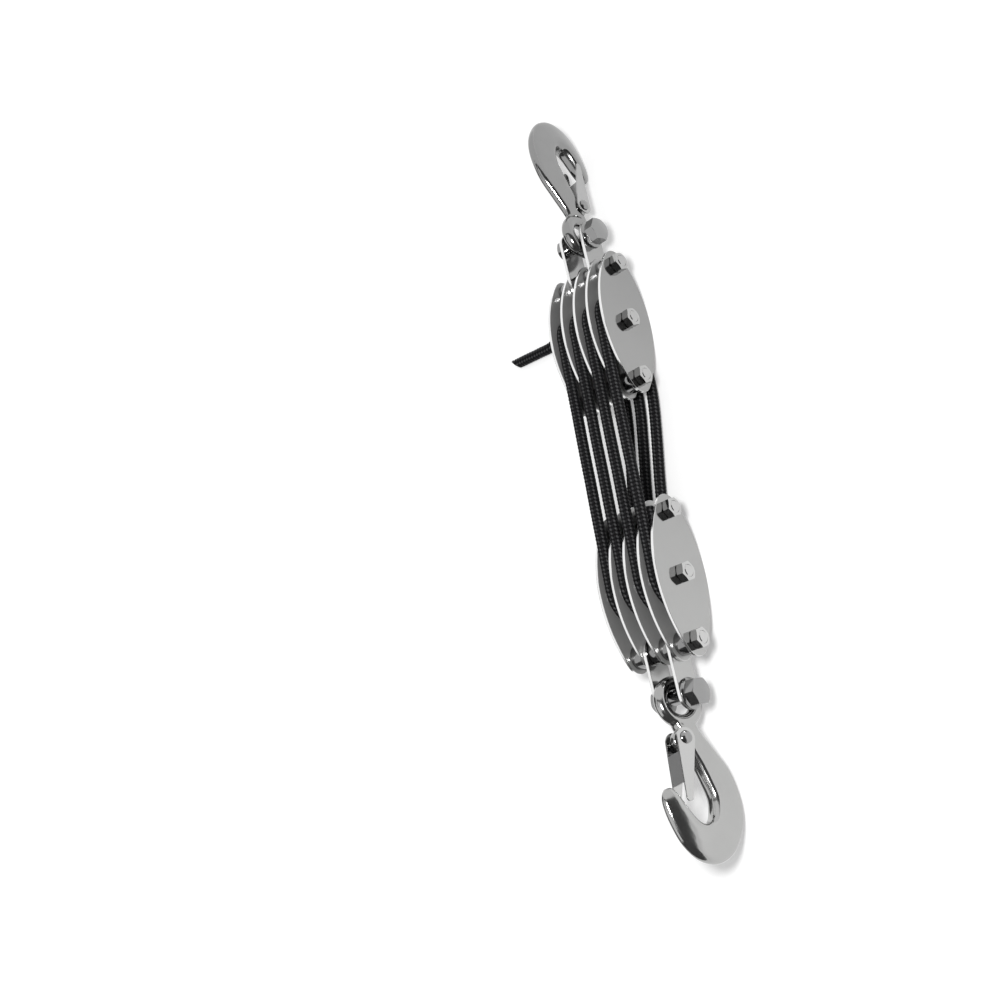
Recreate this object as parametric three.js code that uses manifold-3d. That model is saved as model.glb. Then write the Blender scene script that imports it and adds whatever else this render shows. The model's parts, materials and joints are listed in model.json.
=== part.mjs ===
// Hand rope hoist: two cheek-plate blocks, reeved with one braided rope, with an eye hook at each end.
// X runs along the axles, +Y towards the upper hook, +Z up from the floor that the hoist lies on.

import * as THREE from "three";
import { mergeVertices } from "three/addons/utils/BufferGeometryUtils.js";
import Module from "manifold-3d";

const wasm = await Module();
wasm.setup();

const { Vector2, Vector3, Matrix4, Shape, Path, Group } = THREE;
const { cos, sin, tan, asin, atan2, sqrt, abs, min, max, round, PI } = Math;
const degrees = PI / 180;

// Sizes, all in millimetres

// Clearances
const seatGap = 0.3; // between two pieces that touch
const boltPlay = 0.3; // radius of a hole over its bolt
const sheavePlay = 0.35; // on each side of a sheave
const bearingPlay = 0.3; // between a fixed inner ring and what turns round it
const ropePlay = 0.4; // radius of the groove over the rope
const latchPlay = 0.4; // on each side of the hook, inside the latch

// Cheek plates, spaced along the axle
const plateCount = 5;
const platePitch = 15;
const plateThickness = 2.5;
const plateWidth = 60;
const plateEndRadius = 13;
const endBoltOffset = 52.5; // from the axle to the bolt at each end

// Distance between the two axles, with the hoist drawn out as it lies
const blockSpacing = 220;

// Rope, and the sheaves that it runs on
const ropeDiameter = 9.5;
const sheaveRadius = 23;
const ropeProud = 0.5; // of the rope's centre over the rim of the sheave
const bearingRadius = 14.3;
const bearingWidth = 9;
const bearingRingWall = 2;
const shieldInset = 0.5;
const innerRingRadius = 8.6;

// Through bolts with their spacer tubes and nuts
const boltRadius = 5;
const boltHeadRadius = 7;
const boltHeadHeight = 4.5;
const boltReach = 0.5; // past the nut
const spacerRadius = 7.5;
const nutFlats = 14.5;
const nutHeight = 6.7;
const nutChamfer = 0.9;

// Straps that hang the hook from the block's outer bolt
const strapThickness = 3;
const strapWidth = 24;
const strapSpacing = 38; // from hole to hole

// Clevis bolt across the straps
const clevisBoltRadius = 6;
const clevisFlangeRadius = 12.5;
const clevisFlangeHeight = 2;
const clevisHeadFlats = 19.5;
const clevisHeadHeight = 9.3;
const clevisHeadChamfer = 1.6;
const clevisNutFlats = 17;
const clevisNutHeight = 6;
const clevisReach = 2.3;

// Eye hook: length from the clevis bolt to the bottom of the bowl, width across the bowl
const hookLength = 126;
const hookWidth = 69;
const hookThickness = 14;
const eyeRadius = 15.5; // to the centre of the ring's bar
const eyeBarRadius = 5.5;
const upperShift = 2.8; // of the eye along its bolt
const lowerShift = -0.4;
const lugRadius = 7.4;
const lugThickness = 6;
const lugRelief = 0.8; // of the flats beside the lug, round the latch

// Spring latch, bent from sheet, on its pin
const pinRadius = 2.5;
const pinHeadRadius = 4;
const pinHeadHeight = 1.6;
const latchSheet = 1.2;
const latchLength = 48.6; // from the pin to the tip
const knuckleRadius = 8;
const latchTipRadius = 5;
const webStart = 11; // along the latch's edge, from the knuckle
const webLength = 26;

// Torsion spring of the latch
const springWire = 0.8;
const springTurns = 2;
const springPitch = 1.25;
const springPlay = 0.7; // between the coil and the pin
const springWebLeg = 14;

// Dead end of the rope, spliced round a fixed thimble
const deadEndGap = 0.5; // between the end and the fall beside it
const deadEndBend = 15; // radius of the bend back to the fall
const deadEndLeg = 12;

// Free tail, from the last sheave down to the floor and out under the first plate
const tailLead = 8; // of the reeved rope past the last sheave
const tailRoute = [
  [-22.5, 143, -1],
  [-22.7, 152, -10.2],
  [-23.6, 158.5, -17.6],
  [-27, 165, -23.2],
  [-34, 169.5, -25.25],
  [-43, 168, -25.25],
  [-53, 159, -25.25],
  [-63, 148.5, -25.25],
  [-77, 141.6, -25.25],
  [-94.2, 142.2, -25.25],
  [-112, 143.8, -25.25],
  [-130.5, 145.3, -25.25],
];

// Angles in degrees
const nutTurn = 17;
const deadEndAngle = 60;
const lastWrapAngle = 45; // of the rope on the last sheave
const latchAngle = 10.25; // of the closed latch to the hook's long axis
const springBodyAngle = 62; // of the leg on the hook, to the closed latch
const upperLean = 3.5; // of the straps, as the hoist lies
const lowerLean = 3;
const upperTwist = 0; // of each eye on its bolt, about the hook's long axis
const lowerTwist = 15.5;
const upperSway = 4.4; // of each eye along its bolt
const lowerSway = -6;

// Steps round a circle, or along a curve
const sheaveSteps = 18;
const bearingSteps = 16;
const boltSteps = 12;
const ropeSides = 8;
const wrapStep = 22.5; // degrees of a wrap between two rings of the rope
const hookStepsPerStation = 2;

// Shapes as shares of the hook's width and length: outer edge across and along, inner edge
// across and along, then the thickness. Spine positive, opening negative.
const hookStationShares = [
  [0.188, 0.219, -0.09, 0.243, 0.92],
  [0.319, 0.332, -0.028, 0.348, 1],
  [0.458, 0.453, 0.03, 0.432, 1],
  [0.522, 0.583, 0.08, 0.52, 1],
  [0.522, 0.713, 0.125, 0.608, 1],
  [0.444, 0.834, 0.113, 0.678, 1],
  [0.278, 0.947, 0.111, 0.765, 1],
  [0.056, 1, 0, 0.785, 1],
  [-0.167, 0.972, -0.083, 0.765, 1],
  [-0.333, 0.879, -0.153, 0.717, 0.98],
  [-0.431, 0.753, -0.207, 0.671, 0.92],
  [-0.474, 0.645, -0.268, 0.61, 0.8],
  [-0.463, 0.588, -0.33, 0.563, 0.6],
  [-0.425, 0.556, -0.37, 0.55, 0.36],
];
const neckWidthShare = 0.68; // of the eye's radius, where the neck leaves the ring
const neckThicknessShare = 0.72;
const latchPinShares = [-0.083, 0.267];
// One half of the hook's section: place across from inner to outer edge, and thickness
const hookSectionShares = [
  [-1, 0.3],
  [-0.8, 0.72],
  [-0.45, 1],
  [0.4, 0.74],
  [0.85, 0.52],
  [1, 0.28],
];
const headRoundingShares = [[1, 0.86], [0.72, 0.98]]; // of a bolt head's height and radius

// Derived sizes
const clearGap = platePitch - plateThickness; // between two plates
const gapCount = plateCount - 1;
const plateX = (k) => (k - gapCount / 2) * platePitch;
const gapX = (k) => plateX(k) + platePitch / 2;
const blockHalf = gapCount / 2 * platePitch + plateThickness / 2; // to the outer plates' faces
const ropeRadius = ropeDiameter / 2;
const pitchRadius = sheaveRadius + ropeProud;
const grooveRadius = ropeRadius + ropePlay;
const sheaveHalf = clearGap / 2 - sheavePlay;
const bearingBore = innerRingRadius + bearingPlay;
const strapX = clearGap / 2 - seatGap - strapThickness / 2; // from the middle of its gap
const innerStrapX = gapX(1) - strapX; // centre of the left strap
const strapFace = abs(innerStrapX) + strapThickness / 2; // outer faces of the pair
const floorDepth = plateWidth / 2; // of the floor under the axles
const latchInside = hookThickness / 2 + latchPlay;
const latchOutside = latchInside + latchSheet;
const coilRadius = pinRadius + springPlay + springWire / 2;

// Materials
const steel = (colour, roughness) =>
  new THREE.MeshStandardMaterial({ color: colour, roughness, metalness: 0.9 });
const plateSteel = steel(0xb4b4b2, 0.38);
const sheaveSteel = steel(0xa6a6a4, 0.35);
const bearingSteel = steel(0xc4c4c2, 0.22);
const boltSteel = steel(0xc0c0be, 0.25);
const strapSteel = steel(0xb8b8b6, 0.35);
const hookSteel = steel(0xcacaca, 0.16);
const latchSteel = steel(0xbcbcbc, 0.28);
const springSteel = steel(0x8c8c8c, 0.3);
const ropeFibre = new THREE.MeshStandardMaterial({ color: 0x1c1c1e, roughness: 0.85, metalness: 0 });

// A point on every step of an arc but the last, which the next arc starts with.
function arc(x, y, radius, from, to, steps) {
  return Array.from({ length: steps }, (_, i) => {
    const angle = from + ((to - from) * i) / steps;
    return new Vector2(x + radius * cos(angle), y + radius * sin(angle));
  });
}

function hole(x, y, radius) {
  return new Path(arc(x, y, radius, 0, 2 * PI, boltSteps).reverse());
}

// Outlines are drawn in Y and Z, and their thickness runs along X.
const across = new Matrix4().makeBasis(new Vector3(0, 1, 0), new Vector3(0, 0, 1), new Vector3(1, 0, 0));

function sheetOf(outline, holes, thickness) {
  const shape = new Shape(outline);
  shape.holes = holes;
  const sheet = new THREE.ExtrudeGeometry(shape, { depth: thickness, bevelEnabled: false });
  return sheet.translate(0, 0, -thickness / 2).applyMatrix4(across);
}

// A profile of [x, radius] turned about X. It closes on itself, or starts and ends on the axis.
function turned(profile, steps) {
  const points = profile.map(([x, radius]) => new Vector2(radius, x));
  if (points[0].x > 0) points.push(points[0].clone());
  const upwards = THREE.ShapeUtils.area(points) > 0;
  return new THREE.LatheGeometry(upwards ? points : points.reverse(), steps).rotateZ(-PI / 2);
}

// Rings of equal counts, joined in order and closed with a flat face at each end.
function loft(rings) {
  const count = rings[0].length;
  const index = [];
  for (let r = 0; r + 1 < rings.length; r++) {
    for (let i = 0; i < count; i++) {
      const a = r * count + i;
      const b = r * count + ((i + 1) % count);
      index.push(a, b, a + count, b, b + count, a + count);
    }
  }
  const last = (rings.length - 1) * count;
  for (let i = 1; i + 1 < count; i++) {
    index.push(0, i + 1, i);
    index.push(last, last + i, last + i + 1);
  }
  const geometry = new THREE.BufferGeometry().setFromPoints(rings.flat());
  geometry.setIndex(index);
  return facingOut(geometry);
}

function facingOut(geometry) {
  const { index } = geometry;
  const at = (i) => new Vector3().fromBufferAttribute(geometry.attributes.position, index.getX(i));
  let volume = 0;
  for (let i = 0; i < index.count; i += 3) volume += at(i).dot(at(i + 1).cross(at(i + 2)));
  if (volume < 0) index.array.reverse();
  return geometry;
}

// A round tube through points, whose rings turn as little as they can from one to the next.
function tube(points, radius, sides) {
  const tangents = points.map((_, i) => {
    const before = points[max(i - 1, 0)];
    const after = points[min(i + 1, points.length - 1)];
    const into = points[i].clone().sub(before).normalize();
    const out = after.clone().sub(points[i]).normalize();
    return into.add(out).normalize();
  });
  let side = new Vector3(1, 0, 0);
  return loft(
    points.map((point, i) => {
      side = side.clone().addScaledVector(tangents[i], -side.dot(tangents[i])).normalize();
      const up = new Vector3().crossVectors(tangents[i], side);
      return Array.from({ length: sides }, (_, k) => {
        const angle = ((k + 0.5) / sides) * 2 * PI;
        return point.clone()
          .addScaledVector(side, radius * cos(angle))
          .addScaledVector(up, radius * sin(angle));
      });
    }),
  );
}

// The least distance between two stretches of a tube that are not neighbours, surface to surface.
function leastGap(points, radius) {
  const dense = [];
  for (let i = 0; i + 1 < points.length; i++) {
    const steps = max(1, round(points[i].distanceTo(points[i + 1]) / radius));
    for (let k = 0; k < steps; k++) dense.push(points[i].clone().lerp(points[i + 1], k / steps));
  }
  let along = 0;
  const run = dense.map((p, i) => (along += i ? p.distanceTo(dense[i - 1]) : 0));
  let least = Infinity;
  for (let i = 0; i < dense.length; i++) {
    for (let j = i + 1; j < dense.length; j++) {
      if (run[j] - run[i] > 4 * PI * radius) least = min(least, dense[i].distanceTo(dense[j]));
    }
  }
  return least - 2 * radius;
}

// Booleans
function solid(geometry) {
  const bare = geometry.clone().deleteAttribute("normal").deleteAttribute("uv");
  const merged = mergeVertices(bare, 1e-4);
  return new wasm.Manifold(
    new wasm.Mesh({
      numProp: 3,
      vertProperties: merged.attributes.position.array,
      triVerts: new Uint32Array(merged.index.array),
    }),
  );
}

function geometryOf(manifold) {
  const { vertProperties, triVerts } = manifold.getMesh();
  const geometry = new THREE.BufferGeometry();
  geometry.setAttribute("position", new THREE.BufferAttribute(vertProperties, 3));
  geometry.setIndex(new THREE.BufferAttribute(triVerts, 1));
  return geometry;
}

function rod(radius, from, to) {
  return turned([[from, 0], [from, radius], [to, radius], [to, 0]], boltSteps);
}

function mesh(name, geometry, material, x = 0) {
  const piece = new THREE.Mesh(geometry, material);
  piece.name = name;
  piece.position.x = x;
  return piece;
}

// Cheek plates

// Two long arcs, each tangent to the round ends.
function plateOutline() {
  const sideRadius =
    (endBoltOffset ** 2 + (plateWidth / 2) ** 2 - plateEndRadius ** 2) / (plateWidth - 2 * plateEndRadius);
  const sideCentre = sideRadius - plateWidth / 2;
  const sweep = atan2(endBoltOffset, sideCentre);
  const up = PI / 2;
  return [
    ...arc(0, -sideCentre, sideRadius, up - sweep, up + sweep, 8),
    ...arc(-endBoltOffset, 0, plateEndRadius, up + sweep, 3 * up - sweep, 6),
    ...arc(0, sideCentre, sideRadius, 3 * up - sweep, 3 * up + sweep, 8),
    ...arc(endBoltOffset, 0, plateEndRadius, sweep - up, up - sweep, 6),
  ];
}

const boltPlaces = [-endBoltOffset, 0, endBoltOffset];

function plates(block) {
  const geometry = sheetOf(
    plateOutline(),
    boltPlaces.map((y) => hole(y, 0, boltRadius + boltPlay)),
    plateThickness,
  );
  return Array.from({ length: plateCount }, (_, k) =>
    mesh(`${block}_plate_${k + 1}`, geometry, plateSteel, plateX(k)),
  );
}

// Sheaves and their bearings

function groovedWheel(bore) {
  const lip = asin(ropeProud / grooveRadius);
  const groove = arc(0, pitchRadius, grooveRadius, PI + lip, 2 * PI - lip, 5).map((p) => [p.x, p.y]);
  return turned(
    [
      [-sheaveHalf, bore],
      [-sheaveHalf, sheaveRadius],
      ...groove,
      [grooveRadius * cos(lip), sheaveRadius],
      [sheaveHalf, sheaveRadius],
      [sheaveHalf, bore],
    ],
    sheaveSteps,
  );
}

function bearing() {
  const half = bearingWidth / 2;
  const ring = bearingRadius - bearingRingWall;
  const shield = half - shieldInset;
  return turned(
    [
      [-half, bearingRadius],
      [-half, ring],
      [-shield, ring],
      [-shield, bearingBore],
      [shield, bearingBore],
      [shield, ring],
      [half, ring],
      [half, bearingRadius],
    ],
    bearingSteps,
  );
}

// Bolts

// A round-headed bolt through all plates, with collars between them: [from, to, radius] along X.
function throughBolt(collars, steps) {
  const face = blockHalf + seatGap;
  const end = face + nutHeight + boltReach;
  const profile = [[-face - boltHeadHeight, 0]];
  for (const [height, radius] of headRoundingShares) {
    profile.push([-face - boltHeadHeight * height, boltHeadRadius * (1 - height + radius * height) * 0.8]);
  }
  profile.push([-face, boltHeadRadius], [-face, boltRadius]);
  for (const [from, to, radius] of collars) {
    profile.push([from, boltRadius], [from, radius], [to, radius], [to, boltRadius]);
  }
  profile.push([end, boltRadius], [end, 0]);
  return turned(profile, steps);
}

// One collar fills each gap, and stops short of the strap where there is one.
function collars(radius, strapped) {
  return Array.from({ length: gapCount }, (_, k) => {
    const from = plateX(k) + plateThickness / 2 + seatGap;
    const to = plateX(k + 1) - plateThickness / 2 - seatGap;
    const room = strapThickness + seatGap;
    if (strapped && k === 1) return [from + room, to, radius];
    if (strapped && k === gapCount - 2) return [from, to - room, radius];
    return [from, to, radius];
  });
}

function hexagon(flats, from, height, chamfer, turn) {
  const outline = arc(0, 0, flats / sqrt(3) - chamfer, turn, turn + 2 * PI, 6);
  const prism = new THREE.ExtrudeGeometry(new Shape(outline), {
    depth: height - 2 * chamfer,
    bevelSize: chamfer,
    bevelThickness: chamfer,
    bevelSegments: 1,
  });
  return prism.translate(0, 0, chamfer).applyMatrix4(across).translate(from, 0, 0);
}

function nut() {
  const start = blockHalf + seatGap;
  const body = solid(hexagon(nutFlats, start, nutHeight, nutChamfer / 2, nutTurn * degrees));
  return geometryOf(body.subtract(solid(rod(boltRadius + boltPlay, start - nutHeight, start + 2 * nutHeight))));
}

// Straps and clevis bolt, in a frame with the outer bolt at the origin

function strapOutline() {
  const radius = strapWidth / 2;
  return [
    ...arc(0, 0, radius, PI / 2, (3 * PI) / 2, 7),
    new Vector2(0, -radius),
    ...arc(strapSpacing, 0, radius, -PI / 2, PI / 2, 7),
    new Vector2(strapSpacing, radius),
  ];
}

function strap() {
  const holes = [hole(0, 0, boltRadius + boltPlay), hole(strapSpacing, 0, clevisBoltRadius + boltPlay)];
  return sheetOf(strapOutline(), holes, strapThickness);
}

function clevisBolt() {
  const face = strapFace + seatGap;
  const flange = face + clevisFlangeHeight;
  const tail = -face - clevisNutHeight - clevisReach;
  const shank = turned(
    [
      [tail, 0],
      [tail, clevisBoltRadius],
      [face, clevisBoltRadius],
      [face, clevisFlangeRadius],
      [flange, clevisFlangeRadius],
      [flange, 0],
    ],
    boltSteps,
  );
  const head = hexagon(clevisHeadFlats, face, clevisFlangeHeight + clevisHeadHeight, clevisHeadChamfer / 2, 0);
  return geometryOf(solid(shank).add(solid(head)));
}

function clevisNut() {
  const end = -strapFace - seatGap;
  const nut = hexagon(clevisNutFlats, end - clevisNutHeight, clevisNutHeight, nutChamfer / 2, nutTurn * degrees);
  const bore = rod(clevisBoltRadius + boltPlay, end - 2 * clevisNutHeight, end + clevisNutHeight);
  return geometryOf(solid(nut).subtract(solid(bore)));
}

// Hook, in a frame with the clevis bolt at the origin, the bowl along +Y and the spine at +Z

const eyeCentre = eyeRadius - eyeBarRadius - clevisBoltRadius - seatGap; // the ring hangs on the bolt
const pinPlace = new Vector2(latchPinShares[1] * hookLength, latchPinShares[0] * hookWidth);

function hookBody() {
  const neck = eyeCentre + eyeRadius;
  const neckHalf = eyeRadius * neckWidthShare;
  const stations = [
    [neck, neckHalf, neck, -neckHalf, neckThicknessShare],
    ...hookStationShares.map(([outAcross, outAlong, inAcross, inAlong, thick]) => [
      outAlong * hookLength,
      outAcross * hookWidth,
      inAlong * hookLength,
      inAcross * hookWidth,
      thick,
    ]),
  ];
  const outer = new THREE.CatmullRomCurve3(stations.map(([y, z, , , t]) => new Vector3(t * hookThickness / 2, y, z)));
  const inner = new THREE.CatmullRomCurve3(stations.map(([, , y, z, t]) => new Vector3(t * hookThickness / 2, y, z)));
  const half = hookSectionShares;
  const section = [...half, ...half.toReversed().map(([place, thick]) => [place, -thick])];
  const steps = (stations.length - 1) * hookStepsPerStation;
  const rings = Array.from({ length: steps + 1 }, (_, i) => {
    const a = inner.getPoint(i / steps);
    const b = outer.getPoint(i / steps);
    return section.map(([place, thick]) => {
      const point = a.clone().lerp(b, (1 + place) / 2);
      return point.setX(point.x * thick);
    });
  });
  return loft(rings);
}

function hook() {
  const ring = new THREE.TorusGeometry(eyeRadius, eyeBarRadius, 8, 18).applyMatrix4(across);
  const lug = turned(
    [
      [-lugThickness / 2, 0],
      [-lugThickness / 2, lugRadius],
      [lugThickness / 2, lugRadius],
      [lugThickness / 2, 0],
    ],
    sheaveSteps,
  );
  const reliefRadius = knuckleRadius + lugRelief;
  const relief = [1, -1].map((side) =>
    turned(
      [
        [(side * lugThickness) / 2, 0],
        [(side * lugThickness) / 2, reliefRadius],
        [side * hookThickness, reliefRadius],
        [side * hookThickness, 0],
      ],
      sheaveSteps,
    ),
  );
  const atPin = (geometry) => solid(geometry.translate(0, pinPlace.x, pinPlace.y));
  const body = solid(hookBody())
    .add(solid(ring.translate(0, eyeCentre, 0)))
    .add(atPin(lug))
    .subtract(atPin(relief[0]))
    .subtract(atPin(relief[1]))
    .subtract(atPin(rod(pinRadius + boltPlay, -hookThickness, hookThickness)));
  return geometryOf(body);
}

// Latch, in a frame with its pin at the origin and its length along +Y

const taper = asin((knuckleRadius - latchTipRadius) / (latchLength - latchTipRadius));

function latch() {
  const square = PI / 2;
  const outline = [
    ...arc(0, 0, knuckleRadius, square - taper, 3 * square + taper, 9),
    new Vector2(knuckleRadius * sin(taper), -knuckleRadius * cos(taper)),
    ...arc(latchLength - latchTipRadius, 0, latchTipRadius, -square - -taper, square - taper, 6),
    new Vector2(latchLength - latchTipRadius + latchTipRadius * sin(taper), latchTipRadius * cos(taper)),
  ];
  const cheek = sheetOf(outline, [hole(0, 0, pinRadius + boltPlay)], latchSheet);
  const edge = new Vector2(knuckleRadius * sin(taper), -knuckleRadius * cos(taper));
  const along = new Vector2(cos(taper), sin(taper));
  const inward = new Vector2(-sin(taper), cos(taper));
  const corner = (run, depth) => edge.clone().addScaledVector(along, run).addScaledVector(inward, depth);
  const webEnd = webStart + webLength;
  const web = sheetOf(
    [corner(webStart, 0), corner(webEnd, 0), corner(webEnd, latchSheet), corner(webStart, latchSheet)],
    [],
    2 * latchOutside,
  );
  const place = latchOutside - latchSheet / 2;
  return geometryOf(
    solid(cheek.clone().translate(place, 0, 0))
      .add(solid(cheek.clone().translate(-place, 0, 0)))
      .add(solid(web)),
  );
}

function latchPin() {
  const face = latchOutside + seatGap;
  const end = face + pinHeadHeight;
  return turned(
    [
      [-end, 0],
      [-end, pinRadius],
      [-face - pinHeadHeight / 2, pinHeadRadius],
      [-face, pinHeadRadius],
      [-face, pinRadius],
      [face, pinRadius],
      [face, pinHeadRadius],
      [face + pinHeadHeight / 2, pinHeadRadius],
      [end, pinRadius],
      [end, 0],
    ],
    boltSteps,
  );
}

// Two turns round the pin, beside the lug, with a leg on the latch's web and one on the hook.
function latchSpring() {
  const start = lugThickness / 2 + seatGap + springWire / 2;
  const webLean = asin((knuckleRadius - latchSheet - seatGap - springWire / 2 - coilRadius) / springWebLeg);
  const from = -PI / 2 - webLean + taper; // tangent point of the leg on the web
  const to = springBodyAngle * degrees + PI / 2;
  const bodyLeg = sqrt((knuckleRadius + lugRelief - seatGap - springWire / 2) ** 2 - coilRadius ** 2);
  const turns = springTurns + (to - from) / (2 * PI) - 1;
  const steps = round(turns * 8);
  const at = (angle, x) => new Vector3(x, coilRadius * cos(angle), coilRadius * sin(angle));
  const heading = (angle) => new Vector3(0, sin(angle), -cos(angle));
  const xAt = (share) => start + springPitch * turns * share;
  const points = Array.from({ length: steps + 1 }, (_, i) =>
    at(from - (turns * 2 * PI * i) / steps, xAt(1 - i / steps)),
  );
  const first = points[0].clone().addScaledVector(heading(from), -springWebLeg);
  const lastAngle = from - turns * 2 * PI;
  const last = points.at(-1).clone().addScaledVector(heading(lastAngle), bodyLeg);
  return [first, ...points, last];
}

// One block: plates, axle, end bolts, clevis and hook, with the hook towards +Y

function block(name, lean, shift, twist, sway, floorSide) {
  const group = new Group();
  group.add(...plates(name));

  const ringCollars = collars(innerRingRadius, false);
  const spacers = collars(spacerRadius, false);
  const shortSpacers = collars(spacerRadius, true);
  const nutGeometry = nut();
  const bolts = [
    ["axle", 0, throughBolt(ringCollars, bearingSteps)],
    ["inner", -endBoltOffset, throughBolt(spacers, boltSteps)],
    ["outer", endBoltOffset, throughBolt(shortSpacers, boltSteps)],
  ];
  for (const [which, y, geometry] of bolts) {
    const bolt = mesh(`${name}_${which}_bolt`, geometry, boltSteel);
    const boltNut = mesh(`${name}_${which}_nuts`, nutGeometry, boltSteel);
    bolt.position.y = y;
    boltNut.position.y = y;
    group.add(bolt, boltNut);
  }

  const clevis = new Group();
  clevis.position.y = endBoltOffset;
  clevis.rotation.x = lean * degrees;
  const strapGeometry = strap();
  const clevisPieces = [
    mesh(`${name}_clevis_bolt`, clevisBolt(), boltSteel),
    mesh(`${name}_clevis_nut`, clevisNut(), boltSteel),
  ];
  for (const piece of clevisPieces) piece.position.y = strapSpacing;
  clevis.add(
    mesh(`${name}_strap_left`, strapGeometry, strapSteel, innerStrapX),
    mesh(`${name}_strap_right`, strapGeometry, strapSteel, -innerStrapX),
    ...clevisPieces,
  );

  const hookGeometry = hook();
  const eye = new Group();
  eye.rotation.set(0, twist * degrees, sway * degrees);
  const swing = new Group();
  const boltY = endBoltOffset + strapSpacing * cos(lean * degrees);
  swing.position.set(shift, boltY, strapSpacing * sin(lean * degrees));
  swing.rotation.x = restingTilt(hookGeometry, eye.rotation, swing.position.z, floorSide);
  swing.add(eye);

  const spring = latchSpring();
  console.log(`${name} latch spring, least gap to itself: ${leastGap(spring, springWire / 2).toFixed(2)} mm`);
  const latchFrame = new Group();
  latchFrame.position.set(0, pinPlace.x, pinPlace.y);
  latchFrame.rotation.x = -latchAngle * degrees;
  latchFrame.add(
    mesh(`${name}_latch`, latch(), latchSteel),
    mesh(`${name}_latch_pin`, latchPin(), boltSteel),
    mesh(`${name}_latch_spring`, tube(spring, springWire / 2, 5), springSteel),
  );
  eye.add(mesh(`${name}_hook`, hookGeometry, hookSteel), latchFrame);
  group.add(clevis, swing);
  return group;
}

// The tilt about X at which a hook on its bolt just lies on the floor.
function restingTilt(geometry, turn, boltHeight, floorSide) {
  const turnedHook = geometry.clone().applyMatrix4(new Matrix4().makeRotationFromEuler(turn));
  const { array } = turnedHook.attributes.position;
  const depth = (tilt) => {
    let deepest = -Infinity;
    for (let i = 0; i < array.length; i += 3) {
      const height = boltHeight + array[i + 1] * sin(tilt) + array[i + 2] * cos(tilt);
      deepest = max(deepest, floorSide * height);
    }
    return deepest;
  };
  let high = -PI / 6;
  let low = PI / 6;
  for (let i = 0; i < 50; i++) {
    const middle = (high + low) / 2;
    if (depth(floorSide * middle) > floorDepth) low = middle;
    else high = middle;
  }
  return floorSide * high;
}

// Rope

// Corners of a polygon round a wrap, which the straight runs on both sides meet square.
function wrap(x, y, z, radius, from, to) {
  const steps = max(2, round(abs(to - from) / wrapStep));
  const step = (to - from) / steps;
  const reach = radius / cos((step / 2) * degrees);
  return Array.from({ length: steps }, (_, i) => {
    const angle = (from + (i + 0.5) * step) * degrees;
    return new Vector3(x, y + reach * sin(angle), z + reach * cos(angle));
  });
}

// A fall that leaves one gap straight, crosses over between the blocks and enters the next gap straight.
function crossing(fromX, toX, fromY, toY, z) {
  const steps = 8;
  const clear = Math.sign(toY - fromY) * (endBoltOffset - ropeRadius);
  const start = fromY + clear;
  const end = toY - clear;
  return Array.from({ length: steps + 1 }, (_, i) => {
    const share = i / steps;
    const x = THREE.MathUtils.smoothstep(share, 0, 1) * (toX - fromX) + fromX;
    return new Vector3(x, start + (end - start) * share, z);
  });
}

function straight(x, fromY, toY, z) {
  return [1, 2, 3].map((i) => new Vector3(x, fromY + ((toY - fromY) * i) / 4, z));
}

function reeving() {
  const upper = blockSpacing / 2;
  const lower = -blockSpacing / 2;
  const last = gapCount - 1;
  const points = [];

  // The dead end lies beside its own fall, bends back and takes most of a turn round the thimble.
  const x = gapX(last);
  const angle = deadEndAngle * degrees;
  const legZ = pitchRadius - ropeDiameter - deadEndGap;
  const joinY = pitchRadius * sin(angle);
  const joinZ = -pitchRadius * cos(angle);
  const bendZ = legZ - deadEndBend * (1 - cos(angle));
  const bendY = joinY + (bendZ - joinZ) / tan(angle) + deadEndBend * sin(angle);
  points.push(new Vector3(x, lower + bendY + deadEndLeg, legZ));
  points.push(...wrap(x, lower + bendY, legZ - deadEndBend, deadEndBend, 0, -deadEndAngle));
  points.push(...wrap(x, lower, 0, pitchRadius, 180 - deadEndAngle, 360));

  for (let k = last; k > 0; k--) {
    points.push(...straight(gapX(k), lower, upper, pitchRadius));
    points.push(...wrap(gapX(k), upper, 0, pitchRadius, 0, 180));
    points.push(...crossing(gapX(k), gapX(k - 1), upper, lower, -pitchRadius));
    points.push(...wrap(gapX(k - 1), lower, 0, pitchRadius, 180, 360));
  }
  points.push(...straight(gapX(0), lower, upper, pitchRadius));
  points.push(...wrap(gapX(0), upper, 0, pitchRadius, 0, lastWrapAngle));

  const leave = lastWrapAngle * degrees;
  const off = new Vector3(gapX(0), upper + pitchRadius * sin(leave), pitchRadius * cos(leave));
  const heading = new Vector3(0, cos(leave), -sin(leave));
  points.push(off.clone().addScaledVector(heading, tailLead));
  return { points, tailStart: off.addScaledVector(heading, tailLead + seatGap) };
}

// Assembly

const hoist = new Group();
const tackle = new Group(); // its origin lies midway between the axles
hoist.add(tackle);

const upperBlock = block("upper", upperLean, upperShift, upperTwist, upperSway, -1);
upperBlock.position.y = blockSpacing / 2;
const lowerBlock = block("lower", lowerLean, lowerShift, lowerTwist, lowerSway, 1);
lowerBlock.position.y = -blockSpacing / 2;
lowerBlock.rotation.x = PI;
tackle.add(upperBlock, lowerBlock);

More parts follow.
